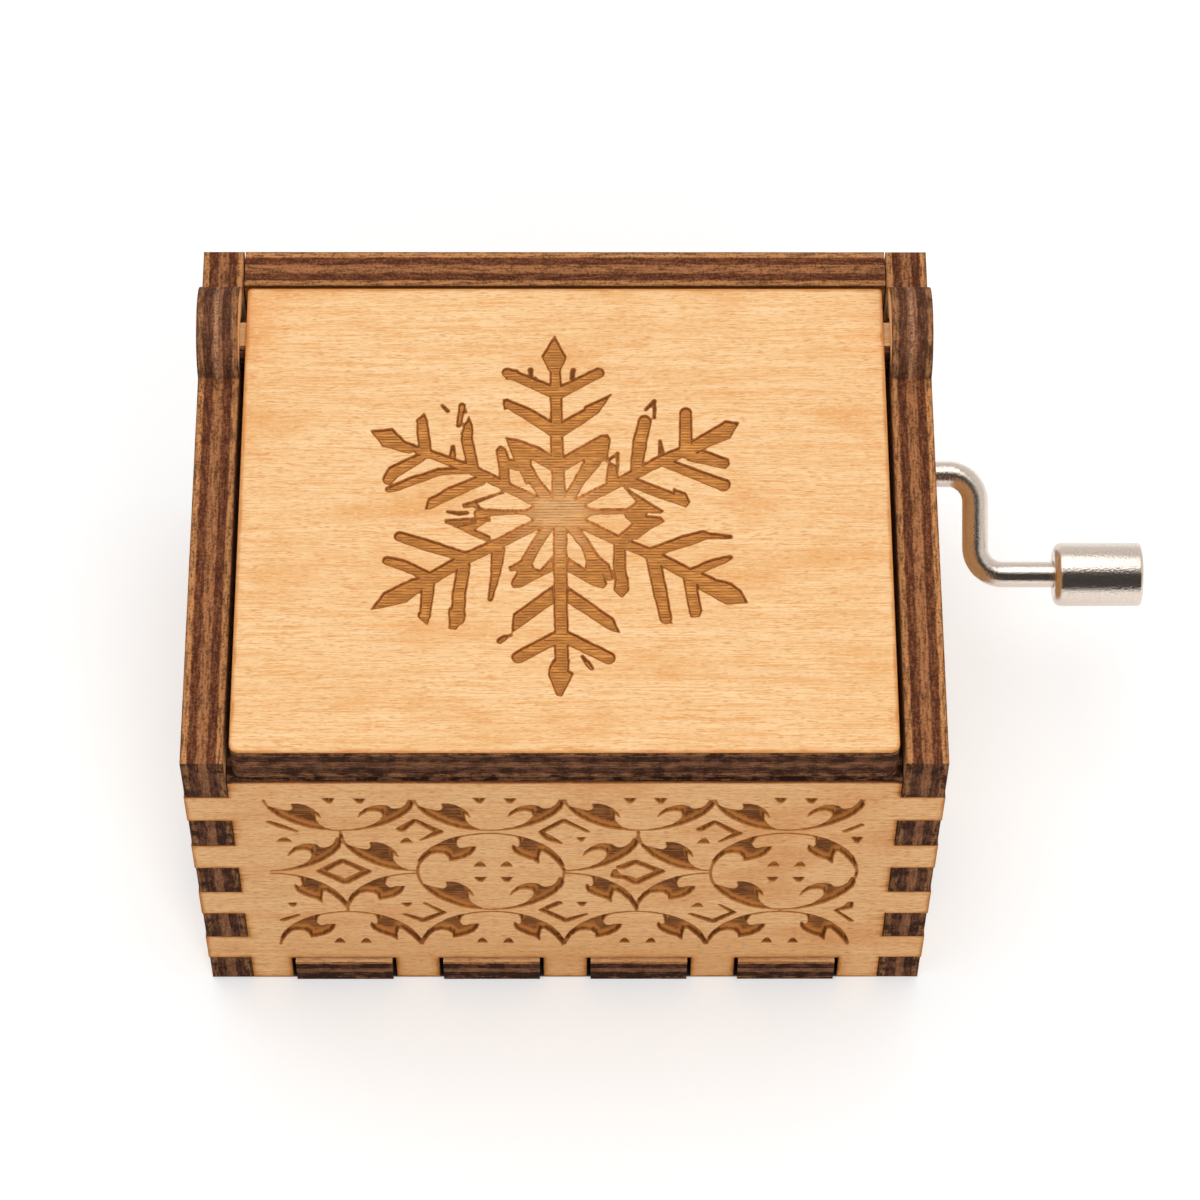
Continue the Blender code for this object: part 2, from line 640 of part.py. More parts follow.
def make_bracket():
    """A bent steel bracket: rear bearing for the cylinder, and two ears that hold the crank shaft."""
    centre = cylinder_axis.x
    foot_base = plate_top + press_gap
    ear_radius = rod_radius + bracket_ear_rim
    top = crank_axis.z + ear_radius
    ear_low = crank_axis.z - ear_radius
    right_edge = [(ear_outer, foot_base), (ear_outer, foot_base + bracket_flare),
                  (bracket_waist, foot_base + bracket_flare + bracket_taper),
                  (bracket_waist, ear_low - bracket_flare), (ear_outer, ear_low), (ear_outer, top)]
    face = ([(centre + across, height) for across, height in right_edge]
            + [(centre - across, height) for across, height in reversed(right_edge)])
    bracket = finish("drive_bracket", prism(face, bracket_front, bracket_back, "xz"), steel)
    foot_front = bracket_back - bracket_foot
    foot = prism([(foot_front, foot_base), (bracket_back, foot_base), (bracket_back, foot_base + bracket_sheet),
                  (foot_front, foot_base + bracket_sheet)], centre - ear_outer, centre + ear_outer, "yz")
    shape_with(bracket, "bracket_foot", foot, "UNION")
    nose = arc((crank_axis.y, crank_axis.z), ear_radius, 90, 270, 10)
    ear_outline = [(bracket_back, ear_low), (bracket_back, top)] + nose
    for name, low, high in (("left_ear", -ear_outer, -ear_inner), ("right_ear", ear_inner, ear_outer)):
        ear = prism(ear_outline, centre + low, centre + high, "yz")
        shape_with(bracket, name, ear, "UNION")
    bearing = rod_radius + turn_gap
    left = centre - ear_outer - ply
    right = centre + ear_outer + ply
    hole = turned([(0, left), (bearing, left), (bearing, right), (0, right)], "x")
    shape_with(bracket, "shaft_bearings", moved(hole, crank_axis), "DIFFERENCE")
    bearing = arbor_radius + turn_gap
    hole = turned([(0, bracket_front - ply / 2), (bearing, bracket_front - ply / 2),
                   (bearing, bracket_back + ply / 2), (0, bracket_back + ply / 2)], "y")
    shape_with(bracket, "rear_bearing", moved(hole, (centre, 0, cylinder_axis.z)), "DIFFERENCE")
    clear = screw_radius + 2 * press_gap
    for number, (x, y) in enumerate(bracket_screw_places(), 1):
        hole = turned([(0, plate_top), (clear, plate_top), (clear, plate_top + ply), (0, plate_top + ply)],
                      "z", small_steps)
        shape_with(bracket, "bracket_hole_%d" % number, moved(hole, (x, y, 0)), "DIFFERENCE")
        head = (x, y, foot_base + bracket_sheet + press_gap)
        through = bracket_sheet + 2 * press_gap + bedplate_thickness
        slotted_screw("bracket_screw_%d" % number, head, screw_head_radius, through)


def make_cylinder():
    """The pinned cylinder: a thin brass sleeve on two caps, on a steel arbor with the worm wheel."""
    spin = joint_empty("cylinder_turns", cylinder_axis)
    inside = cylinder_radius - cylinder_wall
    sleeve_mesh = turned([(inside, -cylinder_half), (cylinder_radius, -cylinder_half),
                          (cylinder_radius, cylinder_half), (inside, cylinder_half)], "y", 48)
    sleeve = finish("cylinder_sleeve", sleeve_mesh, brass, spin, True)
    tune = random.Random(notes)
    pins = []
    for note in range(notes):
        place = (note - (notes - 1) / 2) * note_pitch
        last = -2
        for beat in range(beats - 1):
            if tune.random() > pin_share or beat - last < 2:
                continue
            last = beat
            root = cylinder_radius - cylinder_wall / 2
            pin = turned([(0, root), (pin_radius, root), (pin_radius * 0.8, pin_circle), (0, pin_circle)], "z", 5)
            moved(pin, (0, place, 0))
            turn = 2 * math.pi * (beat + 0.5) / beats
            bmesh.ops.rotate(pin, matrix=Matrix.Rotation(turn, 3, "Y"), verts=pin.verts)
            pins.append(pin)
    shape_with(sleeve, "pins", joined(*pins), "UNION", spin)
    cap = inside - press_gap
    bore = arbor_radius + press_gap
    for name, low in (("front_cap", -cylinder_half), ("rear_cap", cylinder_half - cap_thickness)):
        disc = turned([(bore, low), (cap, low), (cap, low + cap_thickness), (bore, low + cap_thickness)], "y", 48)
        finish(name, disc, brass, spin, True)
    arbor_front = bearing_front - arbor_overhang - cylinder_axis.y
    arbor_back = bracket_back + arbor_overhang - cylinder_axis.y
    arbor = turned([(0, arbor_front), (arbor_radius, arbor_front), (arbor_radius, arbor_back),
                    (0, arbor_back)], "y")
    finish("cylinder_arbor", arbor, steel, spin, True)
    make_wheel(spin, bore)


def wheel_tooth_points():
    """One tooth and the gap after it: (radius, angle) with the tooth's middle at angle 0."""
    lean = math.tan(math.radians(20))
    half_pitch = math.pi * gear_module / 4 - tooth_ease
    tip = wheel_radius + tooth_addendum
    root = wheel_radius - tooth_dedendum
    half_tip = (half_pitch - tooth_addendum * lean) / tip
    half_root = (half_pitch + tooth_dedendum * lean * 0.8) / root
    return [(root, -half_root), (wheel_radius, -half_pitch / wheel_radius), (tip, -half_tip),
            (tip, half_tip), (wheel_radius, half_pitch / wheel_radius), (root, half_root)]


def make_wheel(spin, bore):
    """Worm wheel: its teeth lean with the thread, and a gap faces the worm at rest."""
    lead = thread_pitch / (2 * math.pi * worm_radius)
    layers = 4
    front = wheel_front - cylinder_axis.y
    back = wheel_back - cylinder_axis.y
    step = 2 * math.pi / wheel_teeth
    mesh = bmesh.new()
    rings = []
    for layer in range(layers + 1):
        y = front + wheel_width * layer / layers
        twist = (y - (front + back) / 2) * lead / wheel_radius
        ring = []
        for tooth in range(wheel_teeth):
            for radius, angle in wheel_tooth_points():
                turn = twist + step * (tooth + 0.5) + angle
                ring.append((radius * math.sin(turn), y, radius * math.cos(turn)))
        rings.append(loop_points(mesh, ring))
    for lower, upper in zip(rings, rings[1:]):
        bridge(mesh, lower, upper)
    mesh.faces.new(rings[0])
    mesh.faces.new(rings[-1])
    wheel = finish("worm_wheel", mesh, brass, spin)
    hub_start = cylinder_half + press_gap
    hub_end = back - wheel_width / 4
    hub = turned([(0, hub_start), (wheel_hub_radius, hub_start), (wheel_hub_radius, hub_end), (0, hub_end)], "y")
    shape_with(wheel, "wheel_hub", hub, "UNION", spin)
    hole = turned([(0, hub_start - ply), (bore, hub_start - ply), (bore, back + ply), (0, back + ply)], "y")
    shape_with(wheel, "wheel_bore", hole, "DIFFERENCE", spin)


def worm_thread():
    """A right-handed helix of one thread: the same profile at every angle, moved on by the lead."""
    lean = math.tan(math.radians(20))
    half_pitch = thread_pitch / 4 - thread_ease
    tip = worm_radius + tooth_addendum
    root = worm_radius - tooth_dedendum
    half_tip = half_pitch - tooth_addendum * lean
    half_root = half_pitch + tooth_dedendum * lean
    profile = [(-half_root, root), (-half_tip, tip), (half_tip, tip), (half_root, root)]
    turns = math.ceil(worm_length / thread_pitch) + 3
    steps = round_steps
    mesh = bmesh.new()
    columns = []
    for step in range(steps):
        share = step / steps
        angle = 2 * math.pi * share - math.pi / 2
        column = []
        for turn in range(turns):
            for along, radius in profile:
                x = (turn - turns // 2 + share) * thread_pitch + along
                column.append((x, radius * math.cos(angle), radius * math.sin(angle)))
        columns.append(loop_points(mesh, column))
    size = len(profile)
    for step in range(steps):
        here = columns[step]
        after = columns[(step + 1) % steps]
        shift = size if step == steps - 1 else 0
        for index in range(len(here) - 1 - (size if shift else 0)):
            mesh.faces.new((here[index], here[index + 1], after[index + 1 + shift], after[index + shift]))
    for border in range(2):
        edges = [edge for edge in mesh.edges if edge.is_boundary]
        bmesh.ops.holes_fill(mesh, edges=edges, sides=0)
        if not any(edge.is_boundary for edge in mesh.edges):
            break
    return mesh


def make_worm(spin, start):
    """The thread trimmed to length by a turned blank with a bore for the shaft."""
    bore = rod_radius + press_gap
    chamfer = tooth_addendum
    tip = worm_radius + tooth_addendum * 1.2
    half = worm_length / 2
    blank = turned([(bore, -half), (tip - chamfer, -half), (tip, -half + chamfer), (tip, half - chamfer),
                    (tip - chamfer, half), (bore, half)], "x", 32)
    worm = finish("worm", moved(worm_thread(), (start, 0, 0)), steel, spin)
    shape_with(worm, "worm_blank", moved(blank, (start, 0, 0)), "INTERSECT", spin)


def crank_path(start, end):
    """Middle line of the bent rod: straight, a bend, the arm, a bend back, straight."""
    steps = 8
    first = [Vector((start, 0, 0))]
    centre = Vector((arm_x - crank_bend_radius, 0, 0)) + arm_way * crank_bend_radius
    for step in range(steps + 1):
        turn = math.pi / 2 * step / steps
        first.append(centre + (Vector((1, 0, 0)) * math.sin(turn) - arm_way * math.cos(turn)) * crank_bend_radius)
    centre = Vector((arm_x + crank_bend_radius, 0, 0)) + arm_way * (crank_throw - crank_bend_radius)
    second = []
    for step in range(steps + 1):
        turn = math.pi / 2 * step / steps
        second.append(centre + (arm_way * math.sin(turn) - Vector((1, 0, 0)) * math.cos(turn)) * crank_bend_radius)
    return first + second + [Vector((end, 0, 0)) + arm_way * crank_throw]


def swept_rod(path, radius, steps):
    """A round rod along a path that stays in the plane of +X and the arm."""
    square = Vector((1, 0, 0)).cross(arm_way)
    mesh = bmesh.new()
    rings = []
    for index, point in enumerate(path):
        before = path[max(index - 1, 0)]
        after = path[min(index + 1, len(path) - 1)]
        way = (after - before).normalized()
        flat = way.cross(square)
        turns = [2 * math.pi * step / steps for step in range(steps)]
        rings.append(loop_points(mesh, [point + flat * radius * math.cos(turn) + square * radius * math.sin(turn)
                                        for turn in turns]))
    for lower, upper in zip(rings, rings[1:]):
        bridge(mesh, lower, upper)
    mesh.faces.new(rings[0])
    mesh.faces.new(rings[-1])
    return mesh


def make_crank():
    spin = joint_empty("crank_turns", crank_axis)
    centre = cylinder_axis.x
    collar_gap = end_gap / 2
    rod_start = centre - ear_outer - collar_gap - collar_width - arbor_overhang
    rod_end = knob_end - knob_end_wall - end_gap
    finish("crank_rod", swept_rod(crank_path(rod_start, rod_end), rod_radius, round_steps), steel, spin, True)
    make_worm(spin, centre)
    bore = rod_radius + press_gap
    for name, low in (("left_collar", centre - ear_outer - collar_gap - collar_width),
                      ("right_collar", centre + ear_outer + collar_gap)):
        ring = turned([(bore, low), (collar_radius, low), (collar_radius, low + collar_width),
                       (bore, low + collar_width)], "x")
        finish(name, ring, brass, spin, True)
    grip = joint_empty("knob_turns", grip_axis)
    bore = rod_radius + turn_gap
    knob = turned([(bore, knob_start), (knob_radius - knob_edge, knob_start),
                   (knob_radius, knob_start + knob_edge), (knob_radius, knob_end - knob_edge),
                   (knob_radius - knob_edge, knob_end), (0, knob_end), (0, knob_end - knob_end_wall),
                   (bore, knob_end - knob_end_wall)], "x", 32)
    finish("crank_knob", knob, steel, grip, True)


clear_scene()
make_case()
make_lid()
make_bedplate()
make_comb()
make_bracket()
make_cylinder()
make_crank()
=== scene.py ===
import bpy
import bmesh
import math
import numpy as np
from mathutils import Matrix, Vector
from mathutils.geometry import delaunay_2d_cdt


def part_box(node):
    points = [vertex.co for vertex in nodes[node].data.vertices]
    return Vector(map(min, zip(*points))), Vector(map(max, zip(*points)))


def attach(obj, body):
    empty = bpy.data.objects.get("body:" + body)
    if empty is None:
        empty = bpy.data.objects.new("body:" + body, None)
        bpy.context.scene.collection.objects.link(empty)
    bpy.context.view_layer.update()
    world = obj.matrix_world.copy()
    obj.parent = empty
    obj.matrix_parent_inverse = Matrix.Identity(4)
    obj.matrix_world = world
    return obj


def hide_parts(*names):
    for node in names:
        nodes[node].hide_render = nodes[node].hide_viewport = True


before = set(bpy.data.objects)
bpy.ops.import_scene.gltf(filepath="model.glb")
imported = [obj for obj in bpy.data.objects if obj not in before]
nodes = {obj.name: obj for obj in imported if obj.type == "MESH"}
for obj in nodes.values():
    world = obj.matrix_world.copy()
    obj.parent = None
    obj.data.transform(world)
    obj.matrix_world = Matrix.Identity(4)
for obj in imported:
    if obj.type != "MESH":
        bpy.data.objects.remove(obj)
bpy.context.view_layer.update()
mm = 0.001
crease = {"wood": 0.55, "metal": 0.6}  # the widest angle between two faces, in radians, that is shaded smooth


def shade(r, g, b):  # a colour given as 0 to 255 steps, as the linear one that shaders use
    parts = [c / 255 for c in (r, g, b)]
    return tuple(c / 12.92 if c <= 0.04045 else ((c + 0.055) / 1.055) ** 2.4 for c in parts) + (1.0,)


def fill(node, values):  # a node's inputs, each linked or set
    for key, value in values.items():
        if isinstance(value, bpy.types.NodeSocket):
            node.id_data.links.new(value, node.inputs[key])
        else:
            node.inputs[key].default_value = value
    return node


def put(tree, kind, values=None, **settings):  # one new node with its settings and inputs
    made = tree.nodes.new(kind)
    for key, value in settings.items():
        setattr(made, key, value)
    return fill(made, values or {})


def nodeFor(values, kind, inputs, **settings):  # a node in the tree that the first of the values comes from
    socket = next(v for v in values if isinstance(v, bpy.types.NodeSocket))
    return put(socket.id_data, kind, inputs, **settings).outputs


def calc(operation, *values):
    return nodeFor(values, "ShaderNodeMath", dict(enumerate(values)), operation=operation)[0]


def times(first, second):
    return calc("MULTIPLY", first, second)


def plus(first, second):
    return calc("ADD", first, second)


def minus(first, second):
    return calc("SUBTRACT", first, second)


def blendOf(factor, first, second, mode="MIX"):
    return nodeFor((factor, first, second), "ShaderNodeMix", {0: factor, 6: first, 7: second},
                   data_type="RGBA", blend_type=mode)[2]


def stepOf(value, low, high, first=0.0, last=1.0):  # a smooth step from first to last
    return nodeFor([value], "ShaderNodeMapRange", {"Value": value, "From Min": low, "From Max": high,
                                                   "To Min": first, "To Max": last}, interpolation_type="SMOOTHSTEP")[0]


def noiseOf(vector, detail=2.0, roughness=0.5, scale=1.0):
    return nodeFor([vector], "ShaderNodeTexNoise", {"Vector": vector, "Scale": scale, "Detail": detail,
                                                    "Roughness": roughness})["Fac"]


def scaled(vector, by, shift=(0.0, 0.0, 0.0)):
    return nodeFor([vector], "ShaderNodeMapping", {"Vector": vector, "Location": shift, "Scale": by})[0]


def partsOf(vector):
    return nodeFor([vector], "ShaderNodeSeparateXYZ", {0: vector})


def vectorOf(parts):  # a vector from some of its three parts
    return nodeFor(parts.values(), "ShaderNodeCombineXYZ", parts)[0]


def sumOf(first, second):
    return nodeFor((first, second), "ShaderNodeVectorMath", {0: first, 1: second}, operation="ADD")[0]


def socketKind(label, value):  # a group's input gets its kind from its value
    if value is None:
        return {"Geometry": "NodeSocketGeometry", "Material": "NodeSocketMaterial"}.get(label, "NodeSocketVector")
    if isinstance(value, tuple):
        return "NodeSocketColor" if len(value) == 4 else "NodeSocketVector"
    return "NodeSocketInt" if isinstance(value, int) else "NodeSocketFloat"


def groupOf(name, inputs, outputs, kind="ShaderNodeTree"):  # an empty group with its sockets
    tree = bpy.data.node_groups.new(name, kind)
    for label, value in inputs.items():
        socket = tree.interface.new_socket(name=label, in_out="INPUT", socket_type=socketKind(label, value))
        if value is not None:
            socket.default_value = value
    for label, socketType in outputs.items():
        tree.interface.new_socket(name=label, in_out="OUTPUT", socket_type=socketType)
    return tree, tree.nodes.new("NodeGroupInput").outputs, tree.nodes.new("NodeGroupOutput")


def used(group, values):  # a group used inside a material, and its outputs
    return nodeFor(values.values(), "ShaderNodeGroup", values, node_tree=group)


def materialOf(name):  # a new material with its tree, its shader and its coordinates in mm
    material = bpy.data.materials.new(name)
    material.use_nodes = True
    tree = material.node_tree
    shader = tree.nodes["Principled BSDF"]
    place = scaled(put(tree, "ShaderNodeTexCoord").outputs["Object"], (1 / mm,) * 3)
    return material, tree, shader, place


def dress(shader, colour, height, bump, **values):  # a shader's colour and relief, and its other inputs
    strength, depth = bump
    relief = nodeFor([height], "ShaderNodeBump", {"Height": height, "Strength": strength, "Distance": depth * mm})[0]
    fill(shader, {"Base Color": colour, "Normal": relief,
                  **{key.replace("_", " "): value for key, value in values.items()}})


# camera: the one that the photograph was taken with, solved from the box's edges
lens = {"place": (0.6181, -204.2284, 378.5191), "pitch": 1.0481, "yaw": 0.0122, "roll": 0.0105,
        "focal": 4588.48, "picture": 1200.0, "sensor": 36.0}
cosP, sinP = math.cos(lens["pitch"]), math.sin(lens["pitch"])
cosY, sinY = math.cos(lens["yaw"]), math.sin(lens["yaw"])
forward = Vector((sinY * cosP, cosY * cosP, -sinP))
level = Vector((cosY, -sinY, 0.0))
upward = level.cross(forward)
cosR, sinR = math.cos(lens["roll"]), math.sin(lens["roll"])
rightWay = cosR * level + sinR * upward
upWay = -sinR * level + cosR * upward
camera = bpy.data.objects.new("camera", bpy.data.cameras.new("camera"))
bpy.context.scene.collection.objects.link(camera)
turned = Matrix((rightWay, upWay, -forward)).transposed().to_4x4()
camera.matrix_world = Matrix.Translation(Vector(lens["place"]) * mm) @ turned
camera.data.sensor_width = lens["sensor"]
camera.data.lens = lens["focal"] / lens["picture"] * lens["sensor"]
camera.data.clip_start, camera.data.clip_end = 0.01, 20.0
bpy.context.scene.camera = camera
bpy.context.scene.view_settings.view_transform = "Standard"
print("camera set")


# light: a soft white room, and a broad lamp above; polished metal sees a dim corner in front of it
room = {"strength": 0.62, "seen": 1.0, "wall": 0.80, "corner": 0.058, "cornerWay": (0.0, -0.81, 0.59),
        "cornerWide": (0.72, 0.80), "lampWay": (-0.09, 0.22, 0.97), "seam": (0.80, 0.82, 0.85, 0.87), "seamTone": 0.06}
lamps = [{"name": "top_lamp", "place": (-0.06, 0.15, 0.68), "aim": (0.0, 0.0, 0.02), "size": 0.62,
          "power": 1.8, "colour": (1.0, 0.99, 0.975), "glossy": True},
         {"name": "front_lamp", "place": (0.25, -0.75, 0.45), "aim": (0.0, 0.0, 0.02), "size": 0.35,
          "power": 2.4, "colour": (1.0, 0.98, 0.95), "glossy": False}]
world = bpy.data.worlds.new("room")
bpy.context.scene.world = world
world.use_nodes = True
sky = world.node_tree
sky.nodes.clear()
ray = put(sky, "ShaderNodeLightPath").outputs
way = put(sky, "ShaderNodeTexCoord").outputs["Generated"]


def towards(direction):  # how nearly the looked-at way is this one, as a cosine
    unit = Vector(direction).normalized()
    return put(sky, "ShaderNodeVectorMath", {0: way, 1: tuple(unit)}, operation="DOT_PRODUCT").outputs["Value"]


corner = stepOf(towards(room["cornerWay"]), *room["cornerWide"])
lampSide = towards(room["lampWay"])
seam = times(stepOf(lampSide, *room["seam"][:2]), stepOf(lampSide, *room["seam"][2:], 1.0, 0.0))
tone = plus(room["wall"], times(seam, room["seamTone"] - room["wall"]))
tone = put(sky, "ShaderNodeMix", {0: corner, 2: tone, 3: room["corner"]}, data_type="FLOAT").outputs[0]
seen = put(sky, "ShaderNodeBackground", {"Color": (1, 1, 1, 1), "Strength": room["seen"]}).outputs[0]
lit = put(sky, "ShaderNodeBackground", {"Color": (0.98, 0.99, 1.0, 1), "Strength": room["strength"]}).outputs[0]
mirrored = put(sky, "ShaderNodeBackground", {"Color": (1.0, 0.99, 0.97, 1), "Strength": tone}).outputs[0]
chosen = put(sky, "ShaderNodeMixShader", {0: ray["Is Glossy Ray"], 1: lit, 2: mirrored}).outputs[0]
direct = calc("MAXIMUM", ray["Is Camera Ray"], ray["Is Transmission Ray"])
chosen = put(sky, "ShaderNodeMixShader", {0: direct, 1: chosen, 2: seen}).outputs[0]
put(sky, "ShaderNodeOutputWorld", {"Surface": chosen})
for each in lamps:
    data = bpy.data.lights.new(each["name"], "AREA")
    data.energy, data.size, data.color = each["power"], each["size"], each["colour"]
    lamp = bpy.data.objects.new(each["name"], data)
    lamp.location = each["place"]
    lamp.rotation_mode = "QUATERNION"
    lamp.rotation_quaternion = (Vector(each["aim"]) - lamp.location).to_track_quat("-Z", "Y")
    lamp.visible_glossy = each["glossy"]
    bpy.context.scene.collection.objects.link(lamp)

# floor: plain and pale; the camera sees it lifted to white, but not where the box stands on it; there its colour is
# painted near black, a painted shade for the gaps between parts
ground = {"half": 3.0, "height": -0.00002, "albedo": (0.80, 0.814, 0.822, 1), "bounce": 0.34, "lift": 0.30,
          "shadeUnderBox": (0.05, 0.04, 0.035, 1), "under": (31.9, 25.55), "underSoft": 0.2}
floorMesh = bpy.data.meshes.new("floor")
h = ground["half"]
floorMesh.from_pydata([(-h, -h, ground["height"]), (h, -h, ground["height"]),
                       (h, h, ground["height"]), (-h, h, ground["height"])], [], [(0, 1, 2, 3)])
floor = bpy.data.objects.new("floor", floorMesh)
bpy.context.scene.collection.objects.link(floor)
floorMaterial, tree, _, place = materialOf("floor_white")
for node in [n for n in tree.nodes if n.type in ("BSDF_PRINCIPLED", "OUTPUT_MATERIAL")]:
    tree.nodes.remove(node)
ray = put(tree, "ShaderNodeLightPath").outputs
spot = partsOf(place)
past = [minus(calc("ABSOLUTE", spot[k]), ground["under"][k]) for k in (0, 1)]
beside = stepOf(calc("MAXIMUM", *past), 0.0, ground["underSoft"])
beside = calc("MAXIMUM", beside, put(tree, "ShaderNodeNewGeometry").outputs["Backfacing"])
lift = times(beside, ground["lift"])
# the floor under the box is painted near black: painted shade that shows through the gaps between the parts
matte = put(tree, "ShaderNodeBsdfDiffuse", {"Color": blendOf(beside, ground["shadeUnderBox"], ground["albedo"])}).outputs[0]
dull = put(tree, "ShaderNodeBsdfDiffuse", {"Color": (ground["bounce"],) * 3 + (1,)}).outputs[0]
glow = put(tree, "ShaderNodeEmission", {"Color": (1, 1, 1, 1), "Strength": lift}).outputs[0]
bright = put(tree, "ShaderNodeAddShader", {0: matte, 1: glow}).outputs[0]
direct = calc("MAXIMUM", ray["Is Camera Ray"], calc("MAXIMUM", ray["Is Transmission Ray"], ray["Is Glossy Ray"]))
chosen = put(tree, "ShaderNodeMixShader", {0: direct, 1: dull, 2: bright}).outputs[0]
put(tree, "ShaderNodeOutputMaterial", {"Surface": chosen})
floorMesh.materials.append(floorMaterial)
print("floor and light set")


lookSockets = {"Color": "NodeSocketColor", "Height": "NodeSocketFloat"}

# birch grain: the vector's first part runs along the grain, in mm
tree, given, result = groupOf(
    "birch_grain", {"Vector": None, "Pale": shade(252, 214, 163), "Tan": shade(243, 194, 138),
                    "Streak": shade(220, 152, 88), "Bloom": shade(232, 165, 97), "Shift": (0.0, 0.0, 0.0)}, lookSockets)
moved = sumOf(given["Vector"], given["Shift"])
bend = noiseOf(scaled(moved, (0.05, 0.12, 0.12)), 2.0)
wander = vectorOf({1: times(bend, 1.2)})
flowing = sumOf(moved, wander)
broad = noiseOf(scaled(flowing, (0.05, 0.8, 0.8)), 3.0, 0.6)
fibre = noiseOf(scaled(flowing, (0.20, 8.0, 8.0)), 4.0, 0.75)
dash = noiseOf(scaled(flowing, (1.2, 11.0, 11.0), (31.0, 7.0, 3.0)), 1.0, 0.6)
gleam = noiseOf(scaled(flowing, (2.1, 7.0, 7.0), (12.0, 41.0, 9.0)), 1.0, 0.5)
cloud = noiseOf(scaled(moved, (0.09, 0.17, 0.17), (5.0, 11.0, 2.0)), 2.5, 0.55)
colour = blendOf(stepOf(broad, 0.30, 0.70, 0.15, 0.75), given["Pale"], given["Tan"])
colour = blendOf(stepOf(cloud, 0.50, 0.70, 0.0, 0.60), colour, given["Bloom"])
colour = blendOf(stepOf(fibre, 0.45, 0.64, 0.0, 0.85), colour, given["Bloom"])
colour = blendOf(stepOf(gleam, 0.56, 0.72, 0.0, 0.60), colour, given["Pale"])
colour = blendOf(stepOf(dash, 0.54, 0.70, 0.0, 0.80), colour, given["Streak"])
fill(result, {"Color": colour, "Height": minus(fibre, times(dash, 0.6))})
birchGrain = tree

# scorch: how heat darkens wood, from a clean face through tan to brown and to char; its amount also carries painted
# shade
tree, given, result = groupOf(
    "scorch", {"Wood": shade(243, 194, 138), "Burn And Shade": 0.0, "Vector": None, "Tan": shade(204, 132, 66),
               "Brown": shade(122, 68, 30), "Char And Shade": shade(58, 32, 18)}, {"Color": "NodeSocketColor"})
patchy = noiseOf(given["Vector"], 4.0, 0.7, 2.2)
amount = times(given["Burn And Shade"], stepOf(patchy, 0.25, 0.75, 0.82, 1.1))
colour = blendOf(stepOf(amount, 0.0, 0.45, 0.0, 0.92), given["Wood"], given["Tan"])
colour = blendOf(stepOf(amount, 0.35, 0.85), colour, given["Brown"])
colour = blendOf(stepOf(amount, 0.80, 1.15), colour, given["Char And Shade"])
fill(result, {"Color": colour})
scorch = tree

# carved: a lasered floor keeps the grain and the beam's passes as dark lines, and ledges show cut fibres; the ledges
# are the walls that face up, and their paler fibre colour is partly painted light from above
tree, given, result = groupOf(
    "carved", {"Wood": shade(243, 194, 138), "Vector": None, "Cut": 0.0, "Ledge": 0.0, "Floor": shade(168, 108, 62),
               "Line": shade(84, 48, 24), "Ledge Pale": shade(180, 110, 50), "Ledge Dark": shade(104, 58, 24),
               "Pass": 0.28, "Pass Depth": 0.0, "Grain Depth": 0.8}, lookSockets)
grainLine = noiseOf(scaled(given["Vector"], (0.30, 6.0, 1.0)), 3.0, 0.7)
patch = noiseOf(scaled(given["Vector"], (0.5, 0.7, 1.0), (4.0, 9.0, 1.0)), 3.0, 0.6)
floorTone = plus(times(grainLine, 0.75), times(patch, 0.35))
lined = times(stepOf(floorTone, 0.46, 0.57), given["Grain Depth"])
floorColour = blendOf(lined, given["Floor"], given["Line"])
split = partsOf(given["Vector"])
sway = noiseOf(scaled(given["Vector"], (0.45, 1.3, 1.0)), 2.0)
phase = calc("DIVIDE", plus(split[1], times(sway, 0.10)), given["Pass"])
wave = calc("SINE", times(phase, 2 * math.pi))
broken = noiseOf(scaled(given["Vector"], (0.8, 3.6, 1.0), (8.0, 2.0, 5.0)), 2.0, 0.6)
passes = times(stepOf(wave, 0.20, 0.90), stepOf(broken, 0.34, 0.62, 0.25, 1.0))
passes = times(passes, given["Pass Depth"])
fibres = noiseOf(scaled(given["Vector"], (3.2, 2.2, 0.8), (2.0, 3.0, 7.0)), 3.0, 0.6)
ledgeColour = blendOf(stepOf(fibres, 0.42, 0.72, 0.0, 0.8), given["Ledge Pale"], given["Ledge Dark"])
colour = blendOf(stepOf(given["Cut"], 0.25, 0.85), given["Wood"], floorColour)
beam = times(passes, stepOf(given["Cut"], 0.18, 0.76))
colour = blendOf(beam, colour, given["Line"])
# the paler ledge colour goes only on walls that face up: cut fibres, and partly painted light from above
litFibres = times(given["Ledge"], stepOf(fibres, 0.40, 0.58, 1.0, 0.35))
colour = blendOf(litFibres, colour, ledgeColour)
fill(result, {"Color": colour, "Height": minus(1.0, plus(grainLine, passes))})
carved = tree

